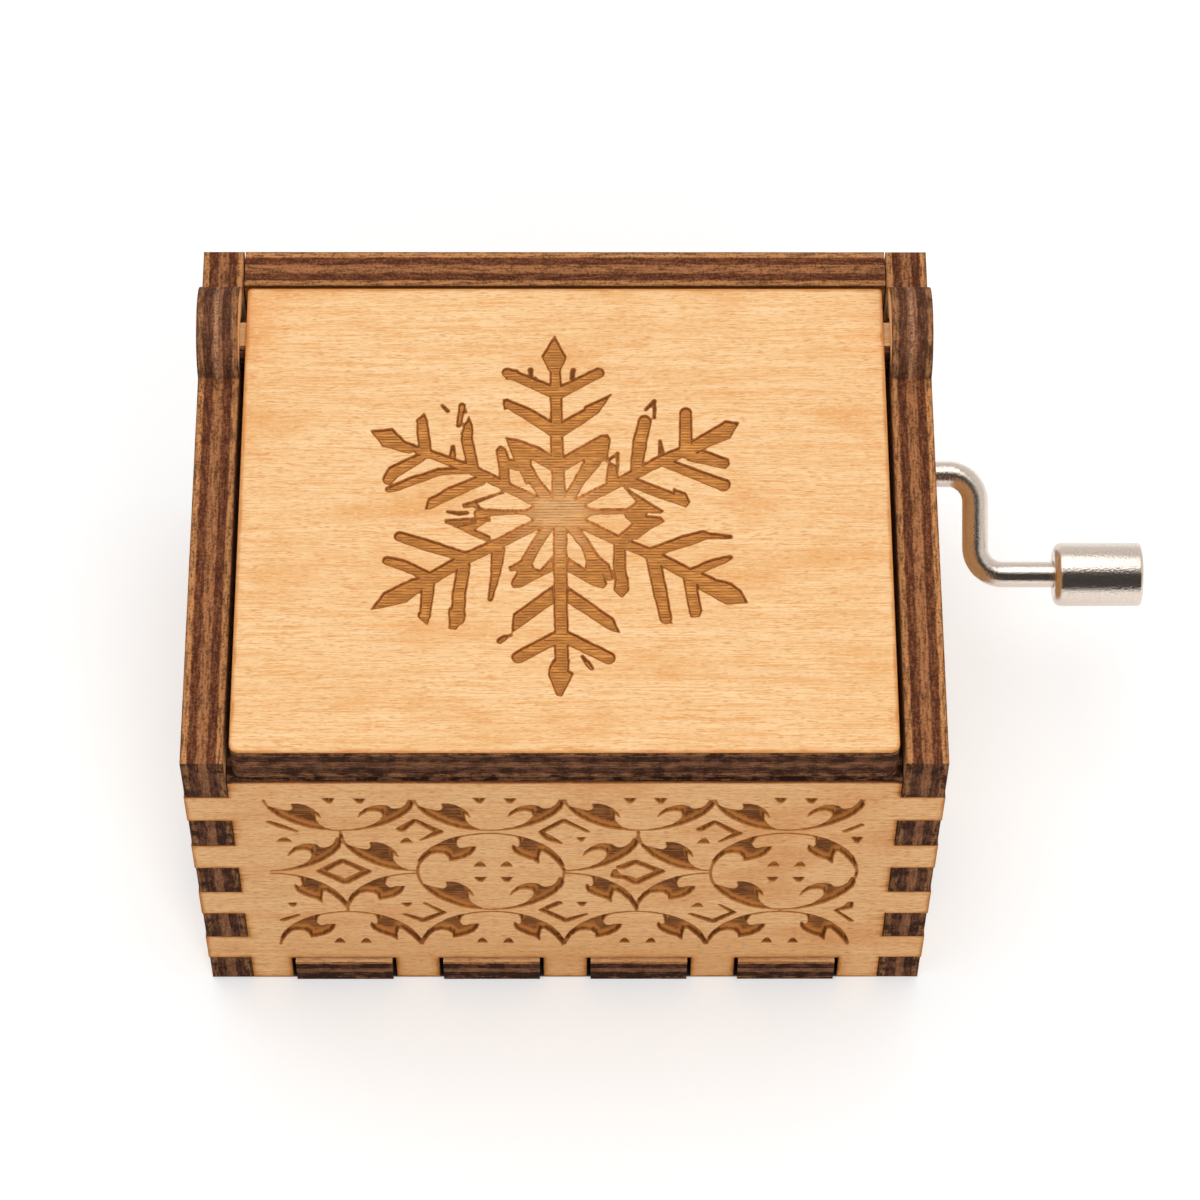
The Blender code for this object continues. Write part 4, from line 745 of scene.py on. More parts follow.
# lid: the snowflake is engraved shallow, each arm a little different from the next
flakeStrokes = [
    [(-0.45, -2.11, 0.55), (-0.68, 4.36, 0.52), (-0.84, 12.55, 0.45)], [(-0.41, -2.11, 0.55), (-0.36, -9.27, 0.55),
     (-0.23, -17.45, 0.55)], [(-0.45, -2.11, 0.5), (5, 1.14, 0.45), (8.41, 3.18, 0.5), (11.82, 4.75, 0.55)],
    [(-0.45, -2.11, 0.5), (4.77, -5.07, 0.48), (7.27, -6.2, 0.5), (10.57, -8.25, 0.59), (12.27, -9.05, 0.59)],
    [(-0.45, -2.11, 0.5), (-5.45, -5.07, 0.5), (-8.64, -6.77, 0.55), (-11.59, -8.82, 0.59), (-12.73, -9.39, 0.55)],
    [(-0.45, -2.11, 0.5), (-5, 0.45, 0.45), (-7.73, 2.09, 0.45), (-10.91, 3.45, 0.39), (-12.5, 4.14, 0.45)],
    [(-0.68, 9.93, 0.59), (-5, 12.05, 0.45)], [(-0.68, 9.93, 0.59), (1.14, 10.95, 0.5), (2.91, 12.05, 0.5)],
    [(-0.68, 6, 0.64), (-3.3, 7.89, 0.55), (-4.95, 8.86, 0.41)], [(-0.68, 6, 0.68), (1.82, 7.77, 0.55)],
    [(-0.68, 2.55, 0.59), (-2.5, 3.91, 0.59), (-4.32, 4.89, 0.34)], [(-0.41, 2.55, 0.59), (1.59, 3.91, 0.59),
     (3.3, 5.23, 0.45)], [(10.41, 4.14, 0.55), (10.45, 7.95, 0.5)], [(10.57, 3.73, 0.5), (13.64, 2.82, 0.48)],
    [(6.14, 2.32, 0.5), (6.48, 5.05, 0.59), (6.89, 7.09, 0.55)], [(8.18, 3.11, 0.45), (11.36, 1.64, 0.5),
     (13.59, 0.64, 0.59)], [(4.09, 0.61, 0.45), (4.05, 2.32, 0.41)], [(5.45, 1.07, 0.5), (8.18, -0.18, 0.5),
     (10.11, -1, 0.45)], [(10.57, -8.14, 0.45), (12.73, -7.11, 0.39), (14.05, -6.59, 0.2)], [(10.57, -8.48, 0.55),
     (11.02, -11.82, 0.5)], [(7.05, -6.2, 0.45), (10.23, -4.95, 0.55), (11.82, -4.39, 0.45)], [(11.82, -4.39, 0.32),
     (14.09, -4.55, 0.18)], [(7.5, -6.77, 0.57), (8.07, -9.95, 0.57), (8.52, -12.57, 0.48)], [(4.66, -4.95, 0.45),
     (6.36, -3.48, 0.59)], [(4.66, -5.41, 0.5), (4.66, -7.68, 0.52), (4.89, -9.39, 0.45)], [(-0.34, -14.16, 0.59),
     (-2.27, -15.3, 0.55), (-3.86, -16.27, 0.55)], [(-0.23, -14.16, 0.59), (1.82, -15.3, 0.55), (3.68, -16.36, 0.55)],
    [(-11.7, -8.36, 0.45), (-13.64, -7.34, 0.5), (-15.05, -6.89, 0.41)], [(-11.55, -9.05, 0.55),
     (-11.77, -12.23, 0.45)], [(-8.41, -6.55, 0.45), (-12.05, -5.23, 0.55), (-14.05, -4.5, 0.45)],
    [(-8.59, -7.45, 0.55), (-8.91, -9.95, 0.55), (-9.05, -12.57, 0.59)], [(-5.64, -5.86, 0.55), (-5.86, -8.14, 0.41),
     (-6.3, -10.68, 0.18)], [(-11.93, 3.8, 0.5), (-12.23, 5.73, 0.5), (-12.32, 7.09, 0.45)], [(-12.5, 3.34, 0.45),
     (-14.66, 1.98, 0.59), (-15.18, 1.18, 0.45)], [(-7.84, 2.09, 0.45), (-8.45, 5.27, 0.5), (-8.41, 6.64, 0.32)],
    [(-8.18, 2.09, 0.3), (-10.45, 2.02, 0.32), (-13.18, 1.07, 0.34), (-15.11, 0.16, 0.23)], [(-7.27, 1.07, 0.5),
     (-9.77, -0.07, 0.5), (-11.36, -1.2, 0.45)], [(-5.11, 0.39, 0.41), (-5.23, 2.09, 0.41), (-5.5, 3.68, 0.32)],
    [(-0.68, -2, 0.55), (-2.5, 0.84, 0.45), (-3.41, 2.66, 0.45)], [(-0.27, -2, 0.5), (1.25, 1.07, 0.45),
     (2.39, 3, 0.68)], [(-0.45, -2.11, 0.45), (2.73, -2.05, 0.25), (5.23, -2, 0.27)], [(-0.45, -2.18, 0.45),
     (-4.09, -2.09, 0.18), (-6.36, -2.14, 0.32), (-7.27, -2.23, 0.45)], [(-0.68, -2.23, 0.5), (-2.5, -5.41, 0.45),
     (-3.14, -6.77, 0.5)], [(-0.27, -2.23, 0.5), (1.82, -5.41, 0.43), (2.39, -6.77, 0.59)], [(0.57, 11.41, 0.14),
     (0.73, 12.32, 0.2)], [(-3, 12.32, 0.2), (-2.91, 11.75, 0.11)], [(-2.55, 11.52, 0.07), (-2.27, 11.07, 0.07)],
    [(7, 8.23, 0.11), (7.77, 9.14, 0.14)], [(7.77, 9.14, 0.11), (7.73, 7.43, 0.11)], [(8.18, 5.05, 0.09),
     (8.5, 3.73, 0.11)], [(8.18, 5.05, 0.07), (8.14, 3.45, 0.09)], [(-10.64, 8.68, 0.09), (-10.14, 8.09, 0.14)],
    [(-8.91, 8.64, 0.25), (-9.16, 6.64, 0.2)], [(-8.91, 8.64, 0.14), (-8.59, 8, 0.09)], [(-9.64, 4.48, 0.14),
     (-9.64, 3.57, 0.23)], [(-10, -2.05, 0.09), (-9.09, -2.23, 0.2), (-8.36, -2.18, 0.16)], [(-5.45, -14.73, 0.25),
     (-5, -14.36, 0.2)], [(-5, -14.36, 0.11), (-4.5, -14.16, 0.09)], [(1.48, -16.23, 0.09), (1.93, -16.89, 0.2),
     (2.27, -17.34, 0.16)], [(4.55, 3.86, 0.09), (4.5, 2.09, 0.11)], [(3.64, 3, 0.11), (4.55, 3.86, 0.09)],
]
flakeOutlines = [
    [(-1.36, 12.2), (-2, 13.73), (-0.91, 15.84), (0.11, 13.68), (-0.41, 12.2)], [(-5.23, 12.43), (-4.09, 12.32),
     (-4.09, 11.41), (-5.11, 11.36)], [(-5.34, 9.25), (-4.95, 9.36), (-4.32, 8.68), (-5.23, 8.27)], [(1.7, 8.57),
     (4.02, 9.82), (2.84, 7.89), (1.82, 7.09)], [(-5.11, 5.39), (-4.09, 5.23), (-3.14, 4.82), (-1.14, 3.23),
     (-1.02, 1.98), (-2.91, 3.23), (-2.91, 2.09), (-2.5, 1.18), (-3.3, 0.73), (-4.32, 3.11), (-4.82, 4.59)],
    [(1.93, 4.59), (3.64, 5.73), (3.91, 5.27), (3.64, 3.11), (2.84, 2.95), (2.16, 2.09), (1.59, 3.11)],
    [(10.95, 5.09), (11.7, 5.61), (13.86, 7.09), (15.02, 6.93), (14.2, 5.36), (11.82, 4.25), (10.68, 3.91)],
    [(11.7, 4.25), (14.09, 3.23), (14.14, 2.66), (13.75, 2.27), (10.57, 3.11)], [(3.52, 0.95), (3.75, 2.77),
     (3.64, 3.11), (4.43, 2.55), (4.66, 1.18), (4.09, 0.5)], [(9.32, 0.27), (10.34, -0.18), (10.68, -1.05),
     (10.34, -1.59), (9.32, -1.09)], [(5, 0.5), (6.59, -0.64), (8.41, -2), (8.18, -2.18), (7.05, -2.11),
     (6.93, -2.45), (8.18, -2.59), (8.45, -3.02), (7.39, -3.7), (6.14, -4.73), (5, -4.84), (6.14, -3.48),
     (5.23, -2.64), (5, -2), (6.14, -1.05)], [(11.25, -8.36), (14.09, -9.09), (14.89, -9.84), (15.45, -11.05),
     (13.64, -11.14), (11.25, -9.61)], [(8.07, -12.34), (9.05, -13.02), (8.3, -12.86)], [(10.57, -12),
     (11.59, -11.73), (11.32, -12.34), (10.68, -12.41)], [(4.32, -8.48), (5.34, -8.48), (5.41, -9.84), (4.82, -10.45),
     (4.14, -9.77)], [(-1.36, -17.45), (-0.91, -16.55), (0.41, -16.55), (0.18, -17.45), (0.73, -17.84), (-0.27, -20),
     (-0.64, -19.91), (-1.32, -18.02)], [(-1.02, -9.39), (-0.91, -10.98), (-4.43, -13.93), (-4.32, -12.11)],
    [(0.18, -9.39), (4.09, -12.57), (4.64, -13.95), (3.75, -13.59), (0.23, -10.98)], [(-0.95, -6.36), (-2.05, -7.86),
     (-2.61, -7.68), (-2.95, -6.77), (-3.41, -6.66), (-4.73, -7.57), (-4.59, -7.91), (-3.98, -7.86), (-4.55, -9.16),
     (-4.32, -9.55), (-3.75, -9.5), (-0.95, -7.8)], [(0.18, -6.55), (1.77, -7.73), (1.86, -6.77), (3.07, -6.66),
     (3.75, -7.23), (4.14, -8.7), (3.75, -8.86), (3.23, -8.14), (3.55, -9.16), (3.3, -9.55), (2.5, -9.39),
     (0.23, -7.91)], [(-12.16, -9.84), (-13.41, -10.98), (-16.36, -11.7), (-15.34, -10.07), (-12.95, -8.7),
     (-11.36, -8.59)], [(-9.77, -11.55), (-9.73, -13.48), (-9.2, -13.59), (-8.36, -12.34), (-8.52, -11.32)],
    [(-12.34, -12), (-12.34, -12.41), (-11.55, -13.14), (-11.3, -11.55)], [(-6.36, -4.5), (-7.73, -3.82),
     (-7.27, -3.48), (-6.36, -2.73), (-7.61, -2.73), (-7.61, -3.09), (-9.5, -3.48), (-7.27, -4.68), (-6.36, -5.07)],
    [(-10.23, -2.86), (-7.61, -2.64), (-6.36, -2.59), (-6.36, -3.02), (-7.61, -3.02), (-9.66, -3.36),
     (-10.18, -3.18)], [(-12.39, 4.25), (-13.41, 3.8), (-15.68, 4.55), (-16.7, 6.07), (-14.89, 6.34), (-13.82, 5.05),
     (-12.39, 4.41)], [(-12.84, 7.09), (-12.16, 7.93), (-11.82, 6.86), (-12.16, 6.18)], [(-8.98, 5.73), (-8.3, 7.55),
     (-8, 6.64), (-7.95, 5.27)], [(-10.91, 2.32), (-15.34, 0.32), (-15.18, -0.07), (-14.55, -0.02), (-10.23, 1.82),
     (-8.18, 1.82), (-8.64, 2.32)], [(-11.7, -0.75), (-11.93, -1.82), (-11.55, -1.77), (-8.18, 0.05), (-8.18, 1.07)],
    [(-5.45, 0.61), (-5.91, 4.14), (-5.57, 4.55), (-5.11, 4.25), (-4.77, 3.23), (-4.14, 3.18), (-3.3, 2.09),
     (-4.09, 2.09), (-4.89, 2.32), (-4.73, 0.61)], [(-5.45, -0.07), (-8.75, -1.32), (-8.64, -1.66), (-7.84, -1.55),
     (-6.93, -2.11), (-6.02, -2.18), (-7.27, -1.59), (-7.5, -1.2), (-5.23, -0.18)], [(-1.82, -0.86), (0.91, -0.86),
     (2.73, -2.05), (0.91, -3.36), (-1.82, -3.36), (-3.64, -2.11)],
]

# a profile's rows: the distance from the drawn outline, the depth there and how burnt it is
lidPlan = {**rims, **carvingGrid, "value": lidBox[1].z, "way": 1, "shapes": flakeStrokes + flakeOutlines,
           "rough": 0.012, "gentle": 0.25, "burnAndShadeSides": (1.0, 0.92),
           "profile": [(0.13, 0.0, 0.0), (0.02, 0.0, 0.74), (-0.08, 0.16, 0.86), (-0.19, 0.26, 0.08)],
           "ledge": ([-0.30, -0.16, 0.0, 0.04], [0.0, 0.4, 0.3, 0.0]),
           "fade": {"centre": (-0.45, -2.11), "reach": [1.5, 5.0, 11.0], "least": [0.55, 0.76, 1.0]}}
lidLook = {"shift": (0.0, 0.0, 0.0), "middleChar": 0.8, "corner": (0.4, 0.8),
           "carved": {"Floor": shade(228, 156, 80), "Line": shade(122, 66, 28), "Pass Depth": 0.95, "Grain Depth": 0.5,
                      "Ledge Pale": shade(206, 130, 60), "Ledge Dark": shade(140, 80, 36)}}
boardOf("lid_panel", "lid", "Z", lidBox[0].z, lidBox[1].z, 3, "XYZ", lidLook, [lidPlan])

# front: four leaves on arcs, from the centre of an oval 6.35 wide and 7.35 high each way
leaves = {
    "lowLeft": [(-6.1, -2.0), (-5.77, -2.5), (-5.0, -3.0), (-4.3, -3.3), (-4.05, -3.2), (-3.85, -2.8), (-3.95, -1.9),
                (-3.4, -1.9), (-2.8, -2.2), (-2.2, -2.9), (-1.75, -3.9), (-1.6, -4.7), (-1.95, -4.1), (-2.1, -4.2),
                (-2.05, -5.2), (-1.8, -6.0), (-1.4, -6.7), (-0.9, -7.1), (-1.5, -7.3), (-2.6, -6.9), (-3.7, -6.1),
                (-4.6, -5.15), (-5.4, -4.0), (-5.95, -2.9)],
    "lowRight": [(1.6, -4.6), (1.8, -3.7), (2.3, -2.85), (3.0, -2.25), (3.6, -2.15), (4.15, -2.35), (4.45, -2.85),
                 (4.8, -2.95), (5.3, -2.7), (5.7, -2.1), (5.98, -1.0), (6.35, -1.9), (6.15, -2.9), (5.6, -4.1),
                 (4.7, -5.3), (3.6, -6.3), (2.5, -6.95), (1.3, -7.35), (0.6, -7.3), (2.0, -6.75), (2.9, -6.1),
                 (3.5, -5.2), (3.75, -4.3), (3.6, -3.6), (3.1, -3.35), (2.4, -3.5), (1.95, -4.0)],
    "topLeft": [(-2.3, 6.95), (-2.75, 6.2), (-2.95, 5.3), (-2.7, 4.6), (-2.35, 4.55), (-1.95, 4.8), (-1.25, 4.85),
                (-1.35, 4.2), (-1.7, 3.3), (-2.3, 2.65), (-3.0, 2.3), (-3.5, 2.1), (-3.6, 2.9), (-3.95, 3.5),
                (-4.6, 3.65), (-5.2, 3.4), (-5.75, 2.5), (-6.15, 1.3), (-6.25, 2.2), (-5.8, 3.5), (-5.0, 4.8),
                (-4.0, 5.9), (-3.0, 6.65)],
    "topRight": [(2.2, 7.0), (2.5, 6.3), (2.58, 5.2), (2.35, 4.6), (1.95, 5.25), (1.9, 4.5), (2.1, 3.75), (2.6, 3.1),
                 (3.2, 2.6), (3.7, 2.3), (4.15, 1.6), (4.15, 2.7), (4.3, 3.8), (4.6, 3.9), (5.0, 3.3), (5.5, 2.4),
                 (5.95, 1.4), (6.2, 0.5), (6.3, 1.4), (6.0, 2.7), (5.3, 4.1), (4.4, 5.3), (3.3, 6.3)],
}
arcs = {"lowLeft": (180, 270), "lowRight": (270, 360), "topLeft": (90, 180), "topRight": (0, 90)}
oval = {"wide": 6.35, "high": 7.35, "line": 0.075, "pitch": 12.72, "first": -19.15, "middle": 21.2, "row": 15.2}


def leafOn(which, cx, cz, squash=1.0, start=None, end=None):  # one leaf and its arc, with the centre given
    a0, a1 = (math.radians(a) for a in (start or arcs[which][0], end or arcs[which][1]))
    line = [(cx + oval["wide"] * math.cos(a0 + (a1 - a0) * k / 24),
             cz + squash * oval["high"] * math.sin(a0 + (a1 - a0) * k / 24), oval["line"]) for k in range(25)]
    leaf = [(cx + x, cz + squash * y) for x, y in leaves[which]]
    return [line, leaf]


def latticeShapes():
    shapes = []
    half, rise = oval["pitch"] / 2, oval["row"] / 2
    for column in range(4):
        cx = oval["first"] + oval["pitch"] * column
        shapes += leafOn("lowLeft", cx, 35.75, 0.90, 189, 270) + leafOn("lowRight", cx, 35.75, 0.90, 270, 351)
        shapes += leafOn("topLeft", cx, 6.05, 1.0, 90, 174) + leafOn("topRight", cx, 6.05, 1.0, 6, 90)
        if column % 2:
            for which in leaves:
                shapes += leafOn(which, cx, oval["middle"])
        else:
            shapes += leafOn("lowRight", cx - half, oval["middle"] + rise)
            shapes += leafOn("lowLeft", cx + half, oval["middle"] + rise)
            shapes += leafOn("topRight", cx - half, oval["middle"] - rise)
            shapes += leafOn("topLeft", cx + half, oval["middle"] - rise)
    return shapes


frontStrokes = [
    [(-13.95, 29.35, 0.42), (-12.75, 31, 0.22), (-10.75, 28.85, 0.34)], [(-10.75, 28.85, 0.36), (-12.35, 27.3, 0.12)],
    [(-2, 28.85, 0.25), (-0.1, 30.95, 0.28), (1.95, 28.9, 0.16)], [(-2, 28.7, 0.22), (-1.3, 27.6, 0.4),
     (-0.35, 26.7, 0.14)], [(11.6, 29.3, 0.38), (12.75, 30.7, 0.22), (14.8, 28.5, 0.34)], [(14.8, 28.5, 0.36),
     (13.3, 27, 0.12)], [(-12.35, 15.05, 0.14), (-10.75, 13.2, 0.24), (-12.6, 11.65, 0.36), (-14.2, 12.85, 0.16)],
    [(-0.6, 15.1, 0.34), (-2, 13.7, 0.28), (0.1, 11.6, 0.34), (1.85, 12.85, 0.16)], [(13.6, 14.75, 0.12),
     (14.9, 13.2, 0.22), (13.1, 11.45, 0.36), (11.1, 12.9, 0.18)], [(-19.25, 23.4, 0.34), (-17.2, 21.3, 0.38),
     (-19.15, 19.3, 0.42), (-21.2, 21.3, 0.36), (-19.25, 23.4, 0.34)], [(6.1, 23.2, 0.34), (8.3, 21.3, 0.38),
     (6.2, 19.2, 0.42)], [(6.1, 23.2, 0.34), (4.9, 22.1, 0.42)], [(4.35, 21.5, 0.2), (4.4, 20.4, 0.42),
     (5.4, 20.1, 0.38), (6.2, 19.2, 0.42)], [(-25.2, 30.7, 0.2), (-24.3, 30, 0.32), (-22.9, 28.95, 0.14)],
    [(-25, 11.7, 0.26), (-23.6, 12.7, 0.18)], [(25.3, 30.1, 0.2), (24, 28.95, 0.24)], [(25.1, 15, 0.28),
     (24.95, 14.3, 0.42), (23.9, 13.6, 0.16)], [(23.9, 13.6, 0.14), (25.4, 11.5, 0.18)],
]
# small three-sided marks: centre, width, height, and 1 where the point is up or -1 where it is down
frontMarks = [(-13.6, 27.25, 1.05, 0.95, 1), (1.4, 27.4, 0.7, 0.8, -1), (11.9, 27.15, 1.0, 0.95, 1),
              (-13.95, 14.75, 0.9, 0.8, -1), (1.45, 14.85, 0.85, 0.9, -1), (11.65, 14.7, 1.0, 0.8, 1),
              (-24.1, 27.4, 1.35, 0.8, 1), (25.05, 27.25, 0.95, 1.2, -1), (-24.0, 14.75, 0.8, 0.8, -1)]
for k in range(4):
    centre = oval["first"] + oval["pitch"] * k
    frontMarks += [(centre - 0.8, 34.6, 1.0, 0.95, -1), (centre + 1.8, 34.55, 1.0, 0.95, -1)]
    frontMarks += [(centre - 1.0, 7.6, 0.85, 0.95, 1), (centre + 1.35, 7.55, 0.85, 0.95, 1)]
    if k % 2:
        for dx in (-0.95, 1.35):
            frontMarks += [(centre + dx, 22.7, 1.0, 0.95, 1), (centre + dx, 19.7, 1.0, 0.95, -1)]


def markShape(x, z, wide, high, up):
    w, h = wide / 2, high / 2 * up
    return [(x - w, z - h), (x + w, z - h), (x + w * 0.75, z - 0.1 * h), (x + 0.25 * w, z + h),
            (x - 0.2 * w, z + 0.85 * h), (x - w * 0.7, z - 0.2 * h)]


frontShapes = latticeShapes() + frontStrokes + [markShape(*m) for m in frontMarks]
frontPlan = {**rims, **carvingGrid, "value": frontBox[0].y, "way": -1, "shapes": frontShapes, "rough": 0.02,
             "gentle": 0.35, "burnAndShadeSides": (1.2, 0.78), "pockets": 0.6,
             "profile": [(0.12, 0.0, 0.0), (0.015, 0.0, 0.60), (-0.08, 0.24, 0.92), (-0.22, 0.62, 0.34),
                         (-0.45, 0.62, 0.04)],
             "ledge": ([-0.28, -0.17, -0.05, 0.02], [0.0, 0.90, 0.60, 0.0])}
frontWood = {"Pale": shade(255, 208, 152), "Tan": shade(250, 193, 132), "Streak": shade(196, 132, 82),
             "Bloom": shade(230, 158, 98)}
frontLook = {"shift": (40.0, 13.0, 5.0), "wood": frontWood, "smokeAndShade": {"Amount": 0.42, "Top": frontBox[1].z}}
boardOf("front_panel", "case", "Y", case["front"], case["front"] + case["ply"], 11, "XZY", frontLook, [frontPlan])

# back, sides and bottom: plain boards
backLook = {"shift": (90.0, 33.0, 9.0), "wood": frontWood,
            "smokeAndShade": {"Amount": 0.42, "Top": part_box("back_panel")[1].z / mm}}
boardOf("back_panel", "case", "Y", case["back"] - case["ply"], case["back"], 17, "XZY", backLook,
        [{**rims, "value": case["back"], "way": 1}])
for name, way, shift in (("left_side_panel", -1, (7.0, 50.0, 3.0)), ("right_side_panel", 1, (63.0, 21.0, 8.0))):
    outer, inner = way * case["side"], way * (case["side"] - case["ply"])
    boardOf(name, "case", "X", min(outer, inner), max(outer, inner), 21, "YZX", {"shift": shift, "wood": frontWood},
            [{**rims, "value": outer, "way": way}, {**rims, "value": inner, "way": -way}])
bottomBox = [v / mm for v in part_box("bottom_panel")]
boardOf("bottom_panel", "case", "Z", bottomBox[0].z, bottomBox[1].z, 29, "XYZ",
        {"shift": (15.0, 70.0, 2.0), "wood": frontWood}, [{**rims, "value": bottomBox[0].z, "way": -1}], 0.9)


# metals: laid on the CAD pieces' own slots, and on the pieces made below
metalSpread = (0.8, 1.25)  # how far a metal's roughness goes below and above its own


def metalMaterial(name, colour, rough, speck, grain=3.0, relief=0.15):
    material, _, shader, place = materialOf(name)
    patch = noiseOf(place, 3.0, 0.6, grain)
    tone = blendOf(stepOf(patch, 0.35, 0.7, 0.0, 0.5), colour, speck)
    sheen = stepOf(patch, 0.3, 0.7, *(rough * k for k in metalSpread))
    dress(shader, tone, patch, (relief, 0.04), Roughness=sheen, Metallic=1.0)
    return material


metals = {slotName: metalMaterial(slotName + "_look", shade(*colour), rough, shade(*speck), **more)
          for slotName, colour, rough, speck, more in (
              ("cast_zinc", (176, 174, 170), 0.42, (150, 148, 146), {"relief": 0.4}),
              ("screw_steel", (196, 194, 190), 0.25, (170, 168, 166), {}),
              ("comb_steel", (190, 190, 192), 0.22, (160, 160, 164), {}),
              ("nickel_plated_steel", (226, 212, 200), 0.15, (204, 189, 176), {"grain": 5.5, "relief": 0.75}),
              ("shaft_steel", (186, 185, 183), 0.25, (150, 150, 150), {}),
              ("cylinder_brass", (214, 176, 98), 0.28, (190, 148, 74), {}),
              ("plated_sheet_steel", (198, 196, 190), 0.3, (172, 170, 165), {}),
              ("gear_brass", (212, 170, 88), 0.3, (180, 140, 70), {}))}
for node in nodes.values():
    for place in node.material_slots:
        if place.material and place.material.name in metals:
            place.material = metals[place.material.name]
print("metals laid")


grownSocket = {"Geometry": "NodeSocketGeometry"}


def endTree(tree, given, result, geometry):  # every tree ends in real geometry with its material
    real = put(tree, "GeometryNodeRealizeInstances", {"Geometry": geometry}).outputs[0]
    dressed = put(tree, "GeometryNodeSetMaterial", {"Geometry": real, "Material": given["Material"]}).outputs[0]
    fill(result, {"Geometry": dressed})


def grown(name, tree, start, values, body, slotName, *replaced):  # runs a tree and keeps its plain mesh
    holder = bpy.data.objects.new(name + "_start", start)
    bpy.context.scene.collection.objects.link(holder)
    change = holder.modifiers.new("grow", "NODES")
    change.node_group = tree
    sockets = {s.name: s.identifier for s in tree.interface.items_tree
               if s.item_type == "SOCKET" and s.in_out == "INPUT"}
    for key, value in {**values, "Material": metals[slotName]}.items():
        change[sockets[key]] = value
    mesh = bpy.data.meshes.new_from_object(holder.evaluated_get(bpy.context.evaluated_depsgraph_get()))
    holder.modifiers.clear()
    bpy.data.objects.remove(holder)
    shown(name, mesh, body, slotName, *replaced)


def shown(name, mesh, body, slotName, *replaced):  # a finished metal piece, given to its body and its slot
    mesh.name = name
    if not mesh.materials:
        mesh.materials.append(metals[slotName])
    piece = bpy.data.objects.new(name, mesh)
    bpy.context.scene.collection.objects.link(piece)
    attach(piece, body)
    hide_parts(*replaced)
    print(name, "made,", len(mesh.polygons), "faces")


# crank rod: one round bar swept along its bent middle line
rod = {"axis": Vector((0, 14.7, 21.5)), "start": -1.15, "arm": 37.4, "end": 51.0, "radius": 1.18, "bend": 2.5,
       "throw": 9.15, "drop": math.radians(30), "around": 56, "perBend": 16}
armWay = Vector((0, -math.cos(rod["drop"]), -math.sin(rod["drop"])))
tree, given, result = groupOf(
    "bent_rod", {"Geometry": None, "Rod Radius": 0.001, "Bend Radius": 0.002, "Bend Steps": 8, "Around": 32,
                 "Material": None}, grownSocket, "GeometryNodeTree")
line = put(tree, "GeometryNodeMeshToCurve", {"Mesh": given["Geometry"]}).outputs[0]
line = put(tree, "GeometryNodeFilletCurve", {"Curve": line, "Count": given["Bend Steps"], "Limit Radius": True,
                                             "Radius": given["Bend Radius"]}, mode="POLY").outputs[0]
ring = put(tree, "GeometryNodeCurvePrimitiveCircle", {"Resolution": given["Around"],
                                                      "Radius": given["Rod Radius"]}).outputs[0]
bar = put(tree, "GeometryNodeCurveToMesh", {"Curve": line, "Profile Curve": ring, "Fill Caps": True}).outputs[0]
bar = put(tree, "GeometryNodeSetShadeSmooth", {"Geometry": bar}).outputs[0]
endTree(tree, given, result, bar)
middleLine = bpy.data.meshes.new("rod_line")
grip = armWay * rod["throw"]
corners = [Vector((rod["start"], 0, 0)), Vector((rod["arm"], 0, 0)), Vector((rod["arm"], 0, 0)) + grip,
           Vector((rod["end"], 0, 0)) + grip]
middleLine.from_pydata([(rod["axis"] + c) * mm for c in corners], [(0, 1), (1, 2), (2, 3)], [])
grown("crank_rod_shown", tree, middleLine, {"Rod Radius": rod["radius"] * mm, "Bend Radius": rod["bend"] * mm,
      "Bend Steps": rod["perBend"], "Around": rod["around"]}, "crank", "nickel_plated_steel", "crank_rod")


def turnedMesh(name, section, centre, around, order):
    # a closed profile of places and radii, turned; order names the axis, and where the turn starts and goes
    along, first, second = (Vector([float(a == b) for b in "XYZ"]) for a in order)
    turns = [2 * math.pi * k / around for k in range(around)]
    bm = bmesh.new()
    rings = [[bm.verts.new((centre + along * x + first * (r * math.cos(t)) + second * (r * math.sin(t))) * mm)
              for t in (turns if r else [0])] for x, r in section]
    for low, high in zip(rings, rings[1:] + rings[:1]):
        for k in range(around):
            four = [low[k % len(low)], low[(k + 1) % len(low)], high[(k + 1) % len(high)], high[k % len(high)]]
            ring = [v for n, v in enumerate(four) if v not in four[:n]]
            if len(ring) > 2:
                bm.faces.new(ring)
    bmesh.ops.recalc_face_normals(bm, faces=bm.faces)
    for face in bm.faces:
        face.smooth = True
    for edge in bm.edges:
        edge.smooth = edge.calc_face_angle(0) < crease["metal"]
    mesh = bpy.data.meshes.new(name)
    bm.to_mesh(mesh)
    bm.free()
    return mesh


# knob: turned, with a well rounded inner end and a finer outer one
knob = {"start": 44.5, "end": 52.5, "radius": 2.9, "bore": 1.30, "inner": 0.75, "outer": 0.32, "chamfer": 0.12,
        "wall": 1.2, "around": 96}


def arcPoints(cx, cr, radius, first, last, steps):  # points of an arc in the plane of length and radius
    turns = [math.radians(first + (last - first) * k / steps) for k in range(steps + 1)]
    return [(cx + radius * math.cos(t), cr + radius * math.sin(t)) for t in turns]


start, end, bore, chamfer = (knob[key] for key in ("start", "end", "bore", "chamfer"))
profile = [(start, bore + chamfer),
           *arcPoints(start + knob["inner"], knob["radius"] - knob["inner"], knob["inner"], 180, 90, 12),
           *arcPoints(end - knob["outer"], knob["radius"] - knob["outer"], knob["outer"], 90, 0, 8),
           (end, 0), (end - knob["wall"], 0), (end - knob["wall"], bore), (start + chamfer, bore)]
mesh = turnedMesh("crank_knob_shown", profile, rod["axis"] + grip, knob["around"], "XYZ")
shown("crank_knob_shown", mesh, "knob", "nickel_plated_steel", "crank_knob")

